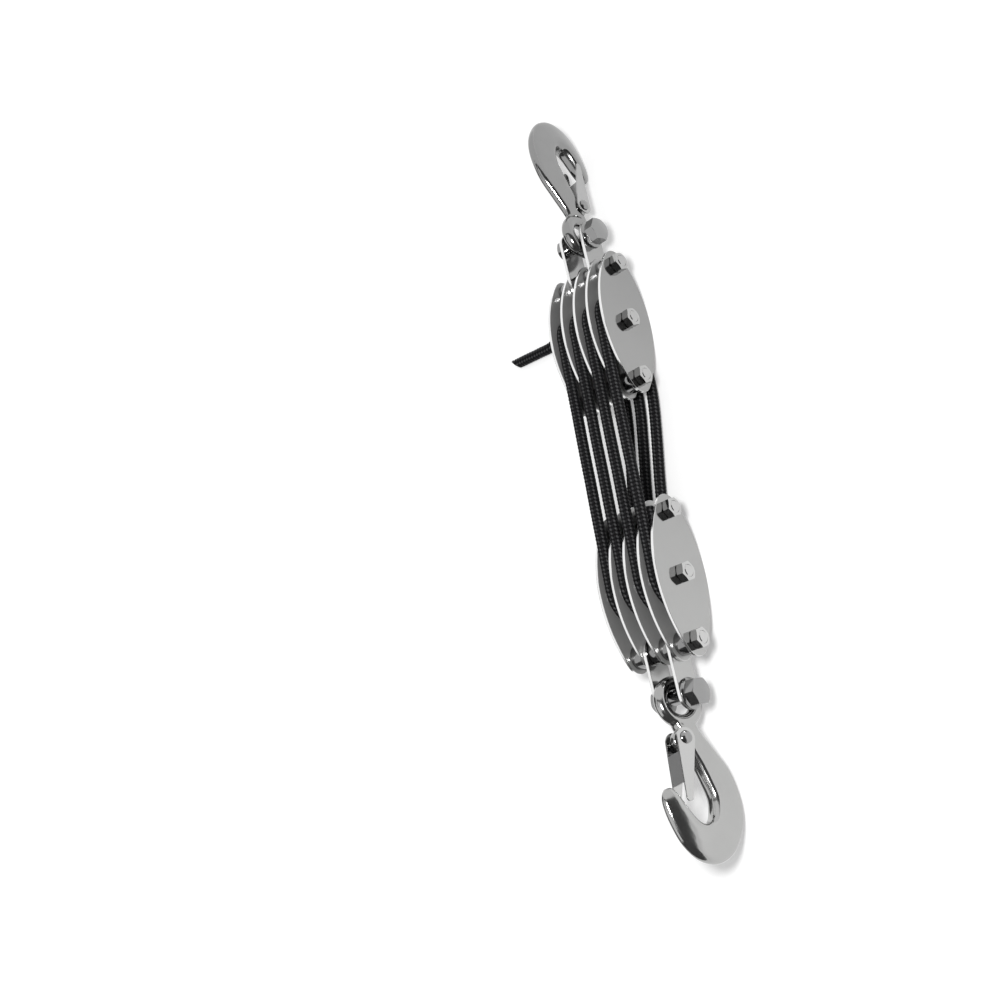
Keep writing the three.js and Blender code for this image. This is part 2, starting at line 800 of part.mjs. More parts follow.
const wheel = groovedWheel(bearingRadius + seatGap);
const wheelBearing = bearing();
for (let k = 0; k < gapCount; k++) {
  upperBlock.add(
    mesh(`upper_sheave_${k + 1}`, wheel, sheaveSteel, gapX(k)),
    mesh(`upper_bearing_${k + 1}`, wheelBearing, bearingSteel, gapX(k)),
  );
  if (k === gapCount - 1) continue;
  lowerBlock.add(
    mesh(`lower_sheave_${k + 1}`, wheel, sheaveSteel, gapX(k)),
    mesh(`lower_bearing_${k + 1}`, wheelBearing, bearingSteel, gapX(k)),
  );
}
lowerBlock.add(mesh("lower_rope_thimble", groovedWheel(bearingBore), sheaveSteel, gapX(gapCount - 1)));

const reeved = reeving();
console.log(`reeved rope, least gap to itself: ${leastGap(reeved.points, ropeRadius).toFixed(2)} mm`);
tackle.add(mesh("rope_reeving", tube(reeved.points, ropeRadius, ropeSides), ropeFibre));

// The hoist stands on its lowest point, centred on the plan, without the loose tail.
tackle.updateMatrixWorld(true);
const box = new THREE.Box3().setFromObject(tackle, true);
tackle.position.set(-(box.min.x + box.max.x) / 2, -(box.min.y + box.max.y) / 2, -box.min.z);

const tailPoints = [reeved.tailStart, ...tailRoute.map((p) => new Vector3(...p))];
const tailCurve = new THREE.CatmullRomCurve3(tailPoints);
tackle.add(mesh("rope_tail", tube(tailCurve.getPoints(2 * tailPoints.length), ropeRadius, ropeSides), ropeFibre));

export default hoist;
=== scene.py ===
# %% [markdown]
# # Dressing a hand rope hoist
# The CAD model gives every piece its place and its moving body. This script gives each piece the
# surface that a hand and an eye would find on the real hoist: eased sheet edges, chamfered nuts, a
# forged hook and a rope that is really braided. All sizes are the real ones, in millimetres.

# %% Load the frame
import json
from math import asin, atan2, cos, pi, radians, sin, sqrt, tan

import bmesh
import bpy
from mathutils import Matrix, Vector

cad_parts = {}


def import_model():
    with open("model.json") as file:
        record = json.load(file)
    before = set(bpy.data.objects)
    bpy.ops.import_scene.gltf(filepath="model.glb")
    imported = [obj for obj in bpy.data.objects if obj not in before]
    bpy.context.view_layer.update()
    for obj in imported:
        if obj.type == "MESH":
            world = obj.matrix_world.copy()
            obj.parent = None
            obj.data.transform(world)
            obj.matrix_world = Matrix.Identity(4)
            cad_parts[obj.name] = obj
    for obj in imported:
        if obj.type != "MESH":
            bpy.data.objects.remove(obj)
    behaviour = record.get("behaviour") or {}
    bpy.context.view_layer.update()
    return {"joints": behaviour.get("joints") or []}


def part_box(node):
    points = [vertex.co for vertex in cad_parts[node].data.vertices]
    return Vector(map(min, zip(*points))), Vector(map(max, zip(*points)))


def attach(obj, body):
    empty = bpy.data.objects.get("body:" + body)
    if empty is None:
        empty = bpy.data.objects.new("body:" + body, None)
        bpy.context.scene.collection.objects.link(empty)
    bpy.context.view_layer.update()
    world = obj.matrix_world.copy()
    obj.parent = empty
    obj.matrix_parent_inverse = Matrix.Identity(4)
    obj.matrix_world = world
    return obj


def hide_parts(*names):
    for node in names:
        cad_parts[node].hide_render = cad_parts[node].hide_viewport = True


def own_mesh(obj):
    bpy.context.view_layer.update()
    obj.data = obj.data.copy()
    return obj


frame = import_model()
MM = 0.001
joints = {joint["name"]: joint for joint in frame["joints"]}


def linked(name, data):
    """A new object in the scene, with the given data."""
    made = bpy.data.objects.new(name, data)
    bpy.context.scene.collection.objects.link(made)
    return made


# %% [markdown]
# ## Camera
# The photo was taken from the right of the hoist, well above it, with the camera rolled so that the
# hoist stands upright in the picture. Three unit vectors say how the camera is turned: where its right
# side, its top and its back point. They are the columns of its matrix.

# %% Place the camera
camera_data = bpy.data.cameras.new("camera")
camera_data.lens = 43.75
camera_data.sensor_width = 36
camera = linked("camera", camera_data)
camera_right = Vector((0.6558, -0.1573, -0.7384)).normalized()
camera_back = Vector((0.6765, -0.3118, 0.6672)).normalized()
camera_up = camera_back.cross(camera_right)
camera.matrix_world = Matrix((camera_right, camera_up, camera_back)).transposed().to_4x4()
camera.location = Vector((585.65, -321.44, 764.8)) * MM
bpy.context.scene.camera = camera

# %% [markdown]
# ## Frames to build in
# Both blocks are the same product, one turned over to face the other. So each piece is drawn once, in
# millimetres, with X along the axle, Y towards its own hook and Z up, and a matrix carries it to its
# block. Straps, hook and latch each have a frame of their own, read from the joints.

# %% Frames of the blocks, straps, hooks and latches
BLOCKS = ("upper", "lower")
HOOK_LENGTH, HOOK_WIDTH = 126.0, 69.0
PIN_ALONG, PIN_ACROSS = 0.267 * HOOK_LENGTH, -0.083 * HOOK_WIDTH
LATCH_ANGLE = radians(10.25)


def middle(node):
    low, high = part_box(node)
    return (low + high) / 2


def framed(x_axis, y_axis, origin):
    axes = Matrix((x_axis, y_axis, x_axis.cross(y_axis))).transposed().to_4x4()
    return Matrix.Translation(origin) @ axes @ Matrix.Scale(MM, 4)


X_AXIS = Vector((1, 0, 0))
block_frame, clevis_frame, hook_frame, latch_frame = {}, {}, {}, {}
for block, outward in (("upper", 1), ("lower", -1)):
    block_frame[block] = framed(X_AXIS, Vector((0, outward, 0)), middle(f"{block}_plate_3"))
    strap_bolt = Vector(joints[f"{block}_clevis_swing"]["pos_m"])
    hook_bolt = Vector(joints[f"{block}_hook_swing"]["pos_m"])
    hang = (hook_bolt - strap_bolt) * Vector((0, 1, 1))
    clevis_frame[block] = framed(X_AXIS, hang.normalized(), strap_bolt)
    latch_joint = joints[f"{block}_latch_open"]
    flat = Vector(latch_joint["axis"]).normalized()
    pin = Vector(latch_joint["pos_m"]) - hook_bolt
    along = (PIN_ALONG * pin - PIN_ACROSS * flat.cross(pin)).normalized()
    hook_frame[block] = framed(flat, along, hook_bolt)
    closed = Matrix.Rotation(-LATCH_ANGLE, 3, flat) @ along
    latch_frame[block] = framed(flat, closed, Vector(latch_joint["pos_m"]))

# %% [markdown]
# ## A small language for node trees
# A material is a graph of nodes, and so is the rope's braid. Writing a graph as sums and products keeps
# its idea readable, so one class wraps an output socket and lets Python's operators add the Math nodes.


# %% Sockets that take operators
class Value:
    """An output socket of a node, with arithmetic."""

    def __init__(self, graph, socket):
        self.graph, self.socket = graph, socket

    def maths(self, operation, a, b=0.0):
        return self.graph.node("ShaderNodeMath", {"operation": operation}, {0: a, 1: b})

    def other(self, output):
        """Another output of the same node."""
        return Value(self.graph, self.socket.node.outputs[output])


OPERATORS = {
    "add": "ADD",
    "sub": "SUBTRACT",
    "mul": "MULTIPLY",
    "truediv": "DIVIDE",
    "mod": "MODULO",
    "pow": "POWER",
}
for operator, operation in OPERATORS.items():
    setattr(Value, f"__{operator}__", lambda self, other, kind=operation: self.maths(kind, self, other))
    setattr(Value, f"__r{operator}__", lambda self, other, kind=operation: self.maths(kind, other, self))


class Graph:
    """A node tree, with one method that adds any node."""

    def __init__(self, tree):
        self.tree = tree

    def node(self, kind, settings=None, inputs=None, output=0):
        made = self.tree.nodes.new(kind)
        for name, value in (settings or {}).items():
            setattr(made, name, value)
        for key, value in (inputs or {}).items():
            self.feed(made.inputs[key], value)
        return Value(self, made.outputs[output])

    def feed(self, socket, value):
        if isinstance(value, Value):
            self.tree.links.new(value.socket, socket)
        else:
            socket.default_value = value


COLOUR_A, COLOUR_B, COLOUR_RESULT = 6, 7, 2  # places of the Mix node's colour sockets
# Painted shade: how fast the steel's colour changes from the upper hook towards the lower one.
PAINTED_SHADE_PER_METRE = 1.5


class Finish(Graph):
    """A material with one Principled shader."""

    def __init__(self, name, **settings):
        self.material = bpy.data.materials.new(name)
        self.material.use_nodes = True
        super().__init__(self.material.node_tree)
        self.shader = next(n for n in self.tree.nodes if n.type == "BSDF_PRINCIPLED")
        self.set(**settings)

    def set(self, **values):
        for name, value in values.items():
            self.feed(self.shader.inputs[name.replace("_", " ")], value)

    def place(self):
        return self.node("ShaderNodeTexCoord", output="Object")

    def noise(self, where, scale, detail=3.0, stretch=(1, 1, 1)):
        stretched = self.node("ShaderNodeMapping", {}, {"Vector": where, "Scale": stretch})
        return self.node("ShaderNodeTexNoise", {}, {"Vector": stretched, "Scale": scale, "Detail": detail})

    def painted_shade_lengthwise(self, place):
        """Painted shade along the hoist: from 0, the darker end, at the upper hook to 1, the lighter end, at
        the lower one.
        """
        return 0.5 - PAINTED_SHADE_PER_METRE * self.node("ShaderNodeSeparateXYZ", {}, {"Vector": place}, output="Y")

    def between(self, factor, dark, light):
        inputs = {"Factor": factor, COLOUR_A: (*dark, 1), COLOUR_B: (*light, 1)}
        return self.node("ShaderNodeMix", {"data_type": "RGBA"}, inputs, output=COLOUR_RESULT)

    def bump(self, height, strength, distance):
        return self.node("ShaderNodeBump", {}, {"Height": height, "Strength": strength, "Distance": distance})


# %% [markdown]
# ## The finishes
# Everything metal here is steel with a thin bright zinc or nickel skin. What tells the pieces apart is
# how they were made: rolled sheet has a faint grain, a forging has a slow waviness under its polish, and
# a bolt has less of it. Each finish is that story told in roughness and a very low bump. Their colours
# also carry a painted shade along the hoist, darker at the upper hook and lighter at the lower.


# %% Finishes for steel
WARM = 0.005


def grey(value, warmth=0.0):
    return value, value, value - warmth


def sheet_steel(name, dark, light, roughness, metal=1.0):
    """Rolled and polished sheet, with a painted shade from its dark colour at the upper hook to its light one
    at the lower.
    """
    finish = Finish(name, Metallic=metal)
    place = finish.place()
    grain = finish.noise(place, 260, 4, (1, 14, 1))
    cloud = finish.noise(place, 14, 2)
    # Painted shade along the hoist, darker at the upper hook, with a random cloud of tone over it.
    painted_light_and_tone = finish.painted_shade_lengthwise(place) + 0.16 * (cloud - 0.5)
    finish.set(
        Base_Color=finish.between(painted_light_and_tone, dark, light),
        Roughness=roughness + 0.06 * grain,
        Normal=finish.bump(grain, 0.05, 0.0001),
    )
    return finish.material


def forged_steel(name, dark, light, roughness, waviness=0.12):
    """Bright plating over a forging or a turned bolt, with a slow waviness under it and a painted shade from
    its dark colour at the upper hook to its light one at the lower.
    """
    finish = Finish(name, Metallic=1.0)
    place = finish.place()
    wave = finish.noise(place, 60, 2)
    fine = finish.noise(place, 900, 3)
    # Painted shade along the hoist, darker at the upper hook, with a random waviness of tone over it.
    painted_light_and_tone = finish.painted_shade_lengthwise(place) + 0.2 * (wave - 0.5)
    finish.set(
        Base_Color=finish.between(painted_light_and_tone, dark, light),
        Roughness=roughness + 0.07 * fine,
        Normal=finish.bump(wave + 0.1 * fine, waviness, 0.0006),
    )
    return finish.material


plate_finish = sheet_steel("polished cheek plate", grey(0.25), grey(0.46, WARM), 0.07)
# Partly painted light: a rougher, half-matt, lighter copy of the cheek steel for the sides between plates,
# standing in for light bounced in the gaps.
gap_light_plate_finish = sheet_steel("half matt inner plate with painted light", grey(0.38), grey(0.42, WARM), 0.26, 0.5)
# Painted highlight: near-white steel on the eased cut edges, in place of the bright line they catch.
edge_highlight_finish = sheet_steel("cut edge with painted highlight", grey(0.86), grey(0.9, WARM), 0.15)
strap_finish = sheet_steel("zinc plated strap", grey(0.34), grey(0.48, WARM), 0.12)
sheave_finish = sheet_steel("turned sheave steel", grey(0.3), grey(0.4), 0.28)
bolt_finish = forged_steel("bright zinc bolt", grey(0.38), grey(0.6, WARM), 0.1, 0.05)
clevis_finish = forged_steel("dark zinc clevis bolt", grey(0.3), grey(0.31), 0.1, 0.12)
hook_finish = forged_steel("plated forging", grey(0.28), grey(0.44, WARM), 0.1)
web_finish = sheet_steel("satin latch web", grey(0.36), grey(0.4), 0.4)
latch_finish = sheet_steel("bent latch sheet", grey(0.42), grey(0.52, WARM), 0.14)
spring_finish = forged_steel("spring wire", grey(0.3), grey(0.45), 0.2)


# %% Finishes for the rope, the bearings and the tubes, and the record's slot for each
def fibre():
    """Black yarn with a painted highlight at its crowns and painted shade between them. The crown attribute
    is high where a yarn rides on top, and higher for the yarns that wind one way than for the others, as if
    lit from one side."""
    finish = Finish("black braided fibre", Metallic=0.0, Roughness=0.7, Specular_IOR_Level=0.08)
    yarn = finish.noise(finish.place(), 1500, 3)
    crown = finish.node("ShaderNodeAttribute", {"attribute_name": "crown"}, output="Fac")
    # Painted highlight on the yarns' crowns; the grooves between them stay dark as painted shade.
    painted_crown_highlight = crown.maths("MAXIMUM", crown, 0.0)
    painted_light_and_tone = painted_crown_highlight**2 * (0.5 + yarn)
    finish.set(
        Base_Color=finish.between(painted_light_and_tone, (0.0025, 0.0025, 0.003), (0.075, 0.075, 0.077)),
        Roughness=0.5 + 0.25 * yarn,
        Normal=finish.bump(yarn, 0.3, 0.0002),
    )
    return finish.material


rope_finish = fibre()
bearing_finish = forged_steel("ground bearing ring", grey(0.5), grey(0.6, WARM), 0.08, 0.03)
tube_finish = forged_steel("dark spacer tube", grey(0.3), grey(0.26), 0.06, 0.04)

# %% [markdown]
# ## Ways of making metal
# Three helpers cover most pieces. `turned` spins a profile, as a lathe does. `cut_sheet` fills
# an outline with its holes and eases the edges, as a press and a tumbling drum do. `hexagon` makes a
# chamfered nut from its height over each angle, as a lathe cutting the corners off a hexagonal bar.


# %% Helpers that turn points into pieces
ROUND_SHARP, SHEET_SHARP, NEVER_SHARP = 35, 12, 180  # degrees between faces that shade apart


def piece(name, mesh, matrix, material, body, replaces, sharp=ROUND_SHARP):
    """A finished object: mesh in millimetres, carried to the shared frame by matrix."""
    mesh.transform(matrix)
    mesh.materials.clear()
    mesh.materials.append(material)
    mesh.shade_smooth()
    mesh.set_sharp_from_angle(angle=radians(sharp))
    mesh.name = name
    made = linked(name, mesh)
    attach(made, body)
    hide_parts(*replaces)
    return made


def mesh_of(bm):
    bmesh.ops.remove_doubles(bm, verts=bm.verts, dist=1e-4)
    bmesh.ops.recalc_face_normals(bm, faces=bm.faces)
    mesh = bpy.data.meshes.new("shape")
    bm.to_mesh(mesh)
    bm.free()
    return mesh


def joined(*meshes):
    bm = bmesh.new()
    for mesh in meshes:
        bm.from_mesh(mesh)
    whole = bpy.data.meshes.new("shape")
    bm.to_mesh(whole)
    bm.free()
    return whole


def evaluated_mesh(drawn):
    """What an object's modifiers or bevel make of it, as a mesh. The object is removed."""
    mesh = bpy.data.meshes.new_from_object(drawn.evaluated_get(bpy.context.evaluated_depsgraph_get()))
    bpy.data.objects.remove(drawn)
    return mesh


def add_line(curve, points):
    spline = curve.splines.new("POLY")
    spline.points.add(len(points) - 1)
    for point, place in zip(spline.points, points):
        point.co = (*place, 1)
    return spline


def bridge(bm, rings):
    """Faces from each ring of points to the next."""
    for a, b in zip(rings, rings[1:]):
        for k in range(len(a)):
            n = (k + 1) % len(a)
            bm.faces.new((a[k], a[n], b[n], b[k]))


STRAIGHT = radians(20)  # a corner that turns less than this is left as it is


def rounded(points, radius, closed=True, steps=3):
    """The same outline with each corner replaced by a short arc."""
    eased = []
    count = len(points)
    for i, point in enumerate(points):
        corner = Vector(point)
        if not closed and i in (0, count - 1):
            eased.append(corner)
            continue
        into = Vector(points[i - 1]) - corner
        out = Vector(points[(i + 1) % count]) - corner
        turn = pi - into.angle(out)
        if turn < STRAIGHT:
            eased.append(corner)
            continue
        reach = min(radius * tan(turn / 2), 0.45 * into.length, 0.45 * out.length)
        start, end = corner + into.normalized() * reach, corner + out.normalized() * reach
        for k in range(steps + 1):
            t = k / steps
            eased.append((1 - t) ** 2 * start + 2 * t * (1 - t) * corner + t * t * end)
    return eased


def turned(profile, steps=72, ease=0.0, closed=True):
    """A profile of (x, radius) spun about X. An open one starts and ends on the axis."""
    points = rounded(profile, ease, closed) if ease else [Vector(p) for p in profile]
    bm = bmesh.new()
    rings = []
    for x, radius in points:
        if radius < 1e-6:
            rings.append([bm.verts.new((x, 0, 0))])
            continue
        turns = [2 * pi * k / steps for k in range(steps)]
        rings.append([bm.verts.new((x, radius * cos(a), radius * sin(a))) for a in turns])
    pairs = list(zip(rings, rings[1:])) + ([(rings[-1], rings[0])] if closed else [])
    for a, b in pairs:
        for k in range(steps):
            around = [a[k % len(a)], a[(k + 1) % len(a)], b[(k + 1) % len(b)], b[k % len(b)]]
            corners = list(dict.fromkeys(around))
            if len(corners) > 2:
                bm.faces.new(corners)
    return mesh_of(bm)


ACROSS = Matrix(((0, 0, 1, 0), (1, 0, 0, 0), (0, 1, 0, 0), (0, 0, 0, 1)))


def arc(y, z, radius, start, end, steps):
    """Points of an arc but the last, with which the next arc starts."""
    angles = [start + (end - start) * k / steps for k in range(steps)]
    return [(y + radius * cos(a), z + radius * sin(a)) for a in angles]


def circle(y, z, radius, steps=48):
    return arc(y, z, radius, 0, 2 * pi, steps)


def cut_sheet(outline, holes, thickness, edge):
    """Sheet metal drawn in Y and Z, as thick as said along X, with its edges eased."""
    curve = bpy.data.curves.new("sheet", "CURVE")
    curve.dimensions, curve.fill_mode = "2D", "BOTH"
    curve.extrude, curve.bevel_depth = thickness / 2 - edge, edge
    curve.offset, curve.bevel_resolution = -edge, 2
    for loop in (outline, *holes):
        add_line(curve, [(y, z, 0) for y, z in loop]).use_cyclic_u = True
    bm = bmesh.new()
    bm.from_mesh(evaluated_mesh(linked("sheet", curve)))
    bm.transform(ACROSS)
    return mesh_of(bm)


FACE_SHARE = 0.97  # radius of a nut's turned face, as a share of half its width over flats


def hexagon(flats, start, height, chamfer, bore=0.0, turn=0.0):
    """A hexagonal bar from x = start, with both faces turned down to a circle inside the flats."""
    steps = 96
    bm = bmesh.new()
    face_radius = flats / 2 * FACE_SHARE
    rings = []
    angles = [2 * pi * k / steps for k in range(steps)]

    def reach(angle):
        return flats / 2 / cos((angle + pi / 6) % (pi / 3) - pi / 6)

    def ring(radius_of, x_of):
        places = [(x_of(a), radius_of(a) * cos(a + turn), radius_of(a) * sin(a + turn)) for a in angles]
        rings.append([bm.verts.new(place) for place in places])

    def fall(angle):
        return max(0, reach(angle) - face_radius) * chamfer

    if bore:
        ring(lambda a: bore, lambda a: start)
    ring(lambda a: face_radius, lambda a: start)
    ring(reach, lambda a: start + fall(a))
    ring(reach, lambda a: start + height - fall(a))
    ring(lambda a: face_radius, lambda a: start + height)
    if bore:
        ring(lambda a: bore, lambda a: start + height)
        rings.append(rings[0])
    bridge(bm, rings)
    if not bore:
        bm.faces.new(rings[0])
        bm.faces.new(rings[-1])
    return mesh_of(bm)


# %% [markdown]
# ## Cheek plates
# Each plate is a lens of sheet: two long arcs that run tangent into the round ends over the bolts.
# The cut edge is eased, and a near-white finish of its own paints the thin bright line of a highlight along
# it. The outer sides of a block are polished; the sides that face the rope get a rougher, half-matt and
# lighter copy of the steel, which paints in light bounced between the plates.

# %% Cut the plates
PITCH, PLATE, WIDTH, END_RADIUS, END_BOLT = 15, 2.5, 60, 13, 52.5
GAPS = 4
PLATES = GAPS + 1
BOLT_HOLE, PLATE_EASE = 5.3, 0.35
CUT_EDGE, OUTER_SIDE = 1, 2  # places in a plate's list of materials
FACING = 0.8  # how squarely a face looks along X, to count as a side and not an edge
block_half = GAPS * PITCH / 2 + PLATE / 2


def plate_x(k):
    return (k - GAPS / 2) * PITCH


def gap_x(k):
    return plate_x(k) + PITCH / 2


def highlight_edged(sheet):
    """Give the cut edge of a sheet its own near-white finish: a painted highlight."""
    sheet.data.materials.append(edge_highlight_finish)
    for face in sheet.data.polygons:
        face.material_index = CUT_EDGE * (abs(face.normal.x) < FACING)


def plate_outline():
    side = (END_BOLT**2 + (WIDTH / 2) ** 2 - END_RADIUS**2) / (WIDTH - 2 * END_RADIUS)
    centre = side - WIDTH / 2
    sweep = atan2(END_BOLT, centre)
    up = pi / 2
    return [
        *arc(0, -centre, side, up - sweep, up + sweep, 48),
        *arc(-END_BOLT, 0, END_RADIUS, up + sweep, 3 * up - sweep, 24),
        *arc(0, centre, side, 3 * up - sweep, 3 * up + sweep, 48),
        *arc(END_BOLT, 0, END_RADIUS, sweep - up, up - sweep, 24),
    ]


for block in BLOCKS:
    for k in range(PLATES):
        holes = [circle(y, 0, BOLT_HOLE) for y in (-END_BOLT, 0, END_BOLT)]
        plate = cut_sheet(plate_outline(), holes, PLATE, PLATE_EASE)
        at = block_frame[block] @ Matrix.Translation((plate_x(k), 0, 0))
        body, node = f"{block}_block", f"{block}_plate_{k + 1}"
        # The sides between plates take the half-matt copy of the steel, which paints in light bounced in the
        # gaps.
        cheek = piece(f"{block}_cheek_{k + 1}", plate, at, gap_light_plate_finish, body, [node], SHEET_SHARP)
        highlight_edged(cheek)
        cheek.data.materials.append(plate_finish)
        outside = {0: -1, PLATES - 1: 1}.get(k, 0)
        for face in cheek.data.polygons:
            if face.normal.x * outside > FACING:
                face.material_index = OUTER_SIDE
print("plates", PLATES * 2)

# %% [markdown]
# ## Sheaves and bearings
# A sheave is turned from bar, with a round groove that the rope lies in up to its middle. A ball
# bearing is pressed into it. Both are profiles spun about the axle.

# %% Turn the sheaves
ROPE_RADIUS, GROOVE_PLAY, SHEAVE_PLAY = 4.75, 0.4, 0.35
SHEAVE_RADIUS, ROPE_PROUD = 23.0, 0.5
pitch_radius = SHEAVE_RADIUS + ROPE_PROUD
groove_radius = ROPE_RADIUS + GROOVE_PLAY
groove_lip = asin(ROPE_PROUD / groove_radius)
sheave_half = (PITCH - PLATE) / 2 - SHEAVE_PLAY
BEARING_RADIUS, BEARING_HALF, RING_WALL, INNER_RING = 14.3, 4.5, 2.0, 8.6
SEAT, SHIELD_INSET = 0.3, 0.5


def wheel(bore):
    groove = [
        (groove_radius * cos(a), pitch_radius + groove_radius * sin(a))
        for a in (pi + groove_lip + (pi - 2 * groove_lip) * k / 20 for k in range(21))
    ]
    return turned(
        [
            (-sheave_half, bore),
            (-sheave_half, SHEAVE_RADIUS),
            *groove,
            (sheave_half, SHEAVE_RADIUS),
            (sheave_half, bore),
        ],
        ease=0.25,
    )


def ball_bearing():
    ring, shield = BEARING_RADIUS - RING_WALL, BEARING_HALF - SHIELD_INSET
    half = [
        (BEARING_HALF, BEARING_RADIUS),
        (BEARING_HALF, ring),
        (shield, ring),
        (shield - 0.2, (ring + INNER_RING) / 2),
        (shield, INNER_RING + 0.8),
        (shield, INNER_RING + SEAT),
    ]
    return turned([(-x, r) for x, r in half] + half[::-1], ease=0.15)


for block, count in (("upper", 4), ("lower", 3)):
    for k in range(count):
        at = block_frame[block] @ Matrix.Translation((gap_x(k), 0, 0))
        name, inside = f"{block}_sheave_{k + 1}", f"{block}_bearing_{k + 1}"
        piece(f"{name}_wheel", wheel(BEARING_RADIUS + SEAT), at, sheave_finish, name, [name])
        piece(f"{name}_ball_bearing", ball_bearing(), at, bearing_finish, name, [inside])
at = block_frame["lower"] @ Matrix.Translation((gap_x(3), 0, 0))
thimble = wheel(INNER_RING + SEAT)
piece("dead_end_thimble", thimble, at, sheave_finish, "lower_block", ["lower_rope_thimble"])

# %% [markdown]
# ## Through bolts, tubes and nuts
# A round-headed bolt runs through all five plates and ends just proud of a thick hexagonal nut. Dark
# tubes on the end bolts keep the plates apart. Where the straps hang, the tubes are shorter, and where
# the rope's dead end passes, the tube is slimmer.

# %% Make the bolts
BOLT, HEAD, HEAD_HEIGHT, BOLT_CHAMFER = 5.0, 7.5, 8.0, 0.6
DOME_STEPS, DOME_FULLNESS = 10, 0.7
NUT_FLATS, NUT_HEIGHT, NUT_TURN, BOLT_REACH = 14.5, 6.7, radians(17), 0.5
NUT_CHAMFER, NUT_PLAY, TUBE_PLAY, TUBE_EASE = 0.6, 0.1, 0.05, 0.4
SPACER, SLIM_SPACER = 9.8, 7.5
STRAP, STRAP_WIDTH, STRAP_SPACING = 3.0, 24.0, 38.0


def through_bolt():
    face = block_half + SEAT
    end = face + NUT_HEIGHT + BOLT_REACH
    angles = [pi / 2 * k / DOME_STEPS for k in range(DOME_STEPS, -1, -1)]
    dome = [(-face - HEAD_HEIGHT * sin(a), HEAD * cos(a) ** DOME_FULLNESS) for a in angles]
    dome[0] = (-face - HEAD_HEIGHT, 0)
    tip = [(face, BOLT), (end - BOLT_CHAMFER, BOLT), (end, BOLT - BOLT_CHAMFER), (end, 0)]
    return turned(dome + [(-face, BOLT)] + tip, closed=False)


def spacer_spans(strapped):
    spans = []
    for k in range(GAPS):
        low, high = plate_x(k) + PLATE / 2 + SEAT, plate_x(k + 1) - PLATE / 2 - SEAT
        low += (STRAP + SEAT) * (strapped and k == 1)
        high -= (STRAP + SEAT) * (strapped and k == GAPS - 2)
        spans.append((low, high))
    return spans


def tube(a, b, radius):
    bore = BOLT + TUBE_PLAY
    return turned([(a, bore), (a, radius), (b, radius), (b, bore)], ease=TUBE_EASE)


def tubes(radius, strapped, last_radius=None):
    spans = spacer_spans(strapped)
    made = [tube(a, b, radius) for a, b in spans[:-1]]
    return joined(*made, tube(*spans[-1], last_radius or radius))


for block in BLOCKS:
    body = f"{block}_block"
    for which, y in (("inner", -END_BOLT), ("axle", 0), ("outer", END_BOLT)):
        at = block_frame[block] @ Matrix.Translation((0, y, 0))
        node = f"{block}_{which}_bolt"
        piece(f"{node}_shaft", through_bolt(), at, bolt_finish, body, [node])
        if which == "axle":
            piece(f"{block}_inner_rings", tubes(INNER_RING, False), at, bearing_finish, body, [node])
        else:
            last = SLIM_SPACER if (block, which) == ("lower", "inner") else SPACER
            spacers = tubes(SPACER, which == "outer", last)
            piece(f"{block}_{which}_tubes", spacers, at, tube_finish, body, [node])
        nut = hexagon(NUT_FLATS, block_half + SEAT, NUT_HEIGHT, NUT_CHAMFER, BOLT + NUT_PLAY, NUT_TURN)
        piece(f"{block}_{which}_hex_nut", nut, at, bolt_finish, body, [f"{block}_{which}_nuts"])

# %% [markdown]
# ## Straps and clevis bolt
# Two straps of thicker sheet hang on the block's outer bolt, and a heavy bolt with a flanged head
# joins their other ends and carries the hook.

# %% Make the straps and the clevis bolt
CLEVIS_BOLT, CLEVIS_REACH, CLEVIS_CHAMFER = 6.0, 8.3, 0.8
CLEVIS_FLANGE, FLANGE_EDGE, FLANGE_TOP, FLANGE_HEIGHT = 12.5, 1.2, 10.5, 2.4
CLEVIS_HEAD_FLATS, CLEVIS_HEAD_HEIGHT = 19.5, 10.1
CLEVIS_NUT_FLATS, CLEVIS_NUT_HEIGHT, CLEVIS_EASE = 17, 6, 0.4
STRAP_EASE = 0.4
strap_x = gap_x(1) - ((PITCH - PLATE) / 2 - SEAT - STRAP / 2)
strap_face = abs(strap_x) + STRAP / 2


def strap():
    radius = STRAP_WIDTH / 2
    outline = [
        *arc(0, 0, radius, pi / 2, 3 * pi / 2, 24),
        (0, -radius),
        *arc(STRAP_SPACING, 0, radius, -pi / 2, pi / 2, 24),
        (STRAP_SPACING, radius),
    ]
    holes = [circle(0, 0, BOLT_HOLE), circle(STRAP_SPACING, 0, CLEVIS_BOLT + SEAT)]
    return cut_sheet(outline, holes, STRAP, STRAP_EASE)


def clevis_bolt():
    face = strap_face + SEAT
    tail = -face - CLEVIS_REACH
    profile = [
        (tail, 0),
        (tail, CLEVIS_BOLT - CLEVIS_CHAMFER),
        (tail + CLEVIS_CHAMFER, CLEVIS_BOLT),
        (face, CLEVIS_BOLT),
        (face, CLEVIS_FLANGE),
        (face + FLANGE_EDGE, CLEVIS_FLANGE),
        (face + FLANGE_HEIGHT, FLANGE_TOP),
        (face + FLANGE_HEIGHT, 0),
    ]
    shank = turned(rounded(profile, CLEVIS_EASE, closed=False), closed=False)
    return joined(shank, hexagon(CLEVIS_HEAD_FLATS, face + FLANGE_EDGE, CLEVIS_HEAD_HEIGHT, NUT_CHAMFER))


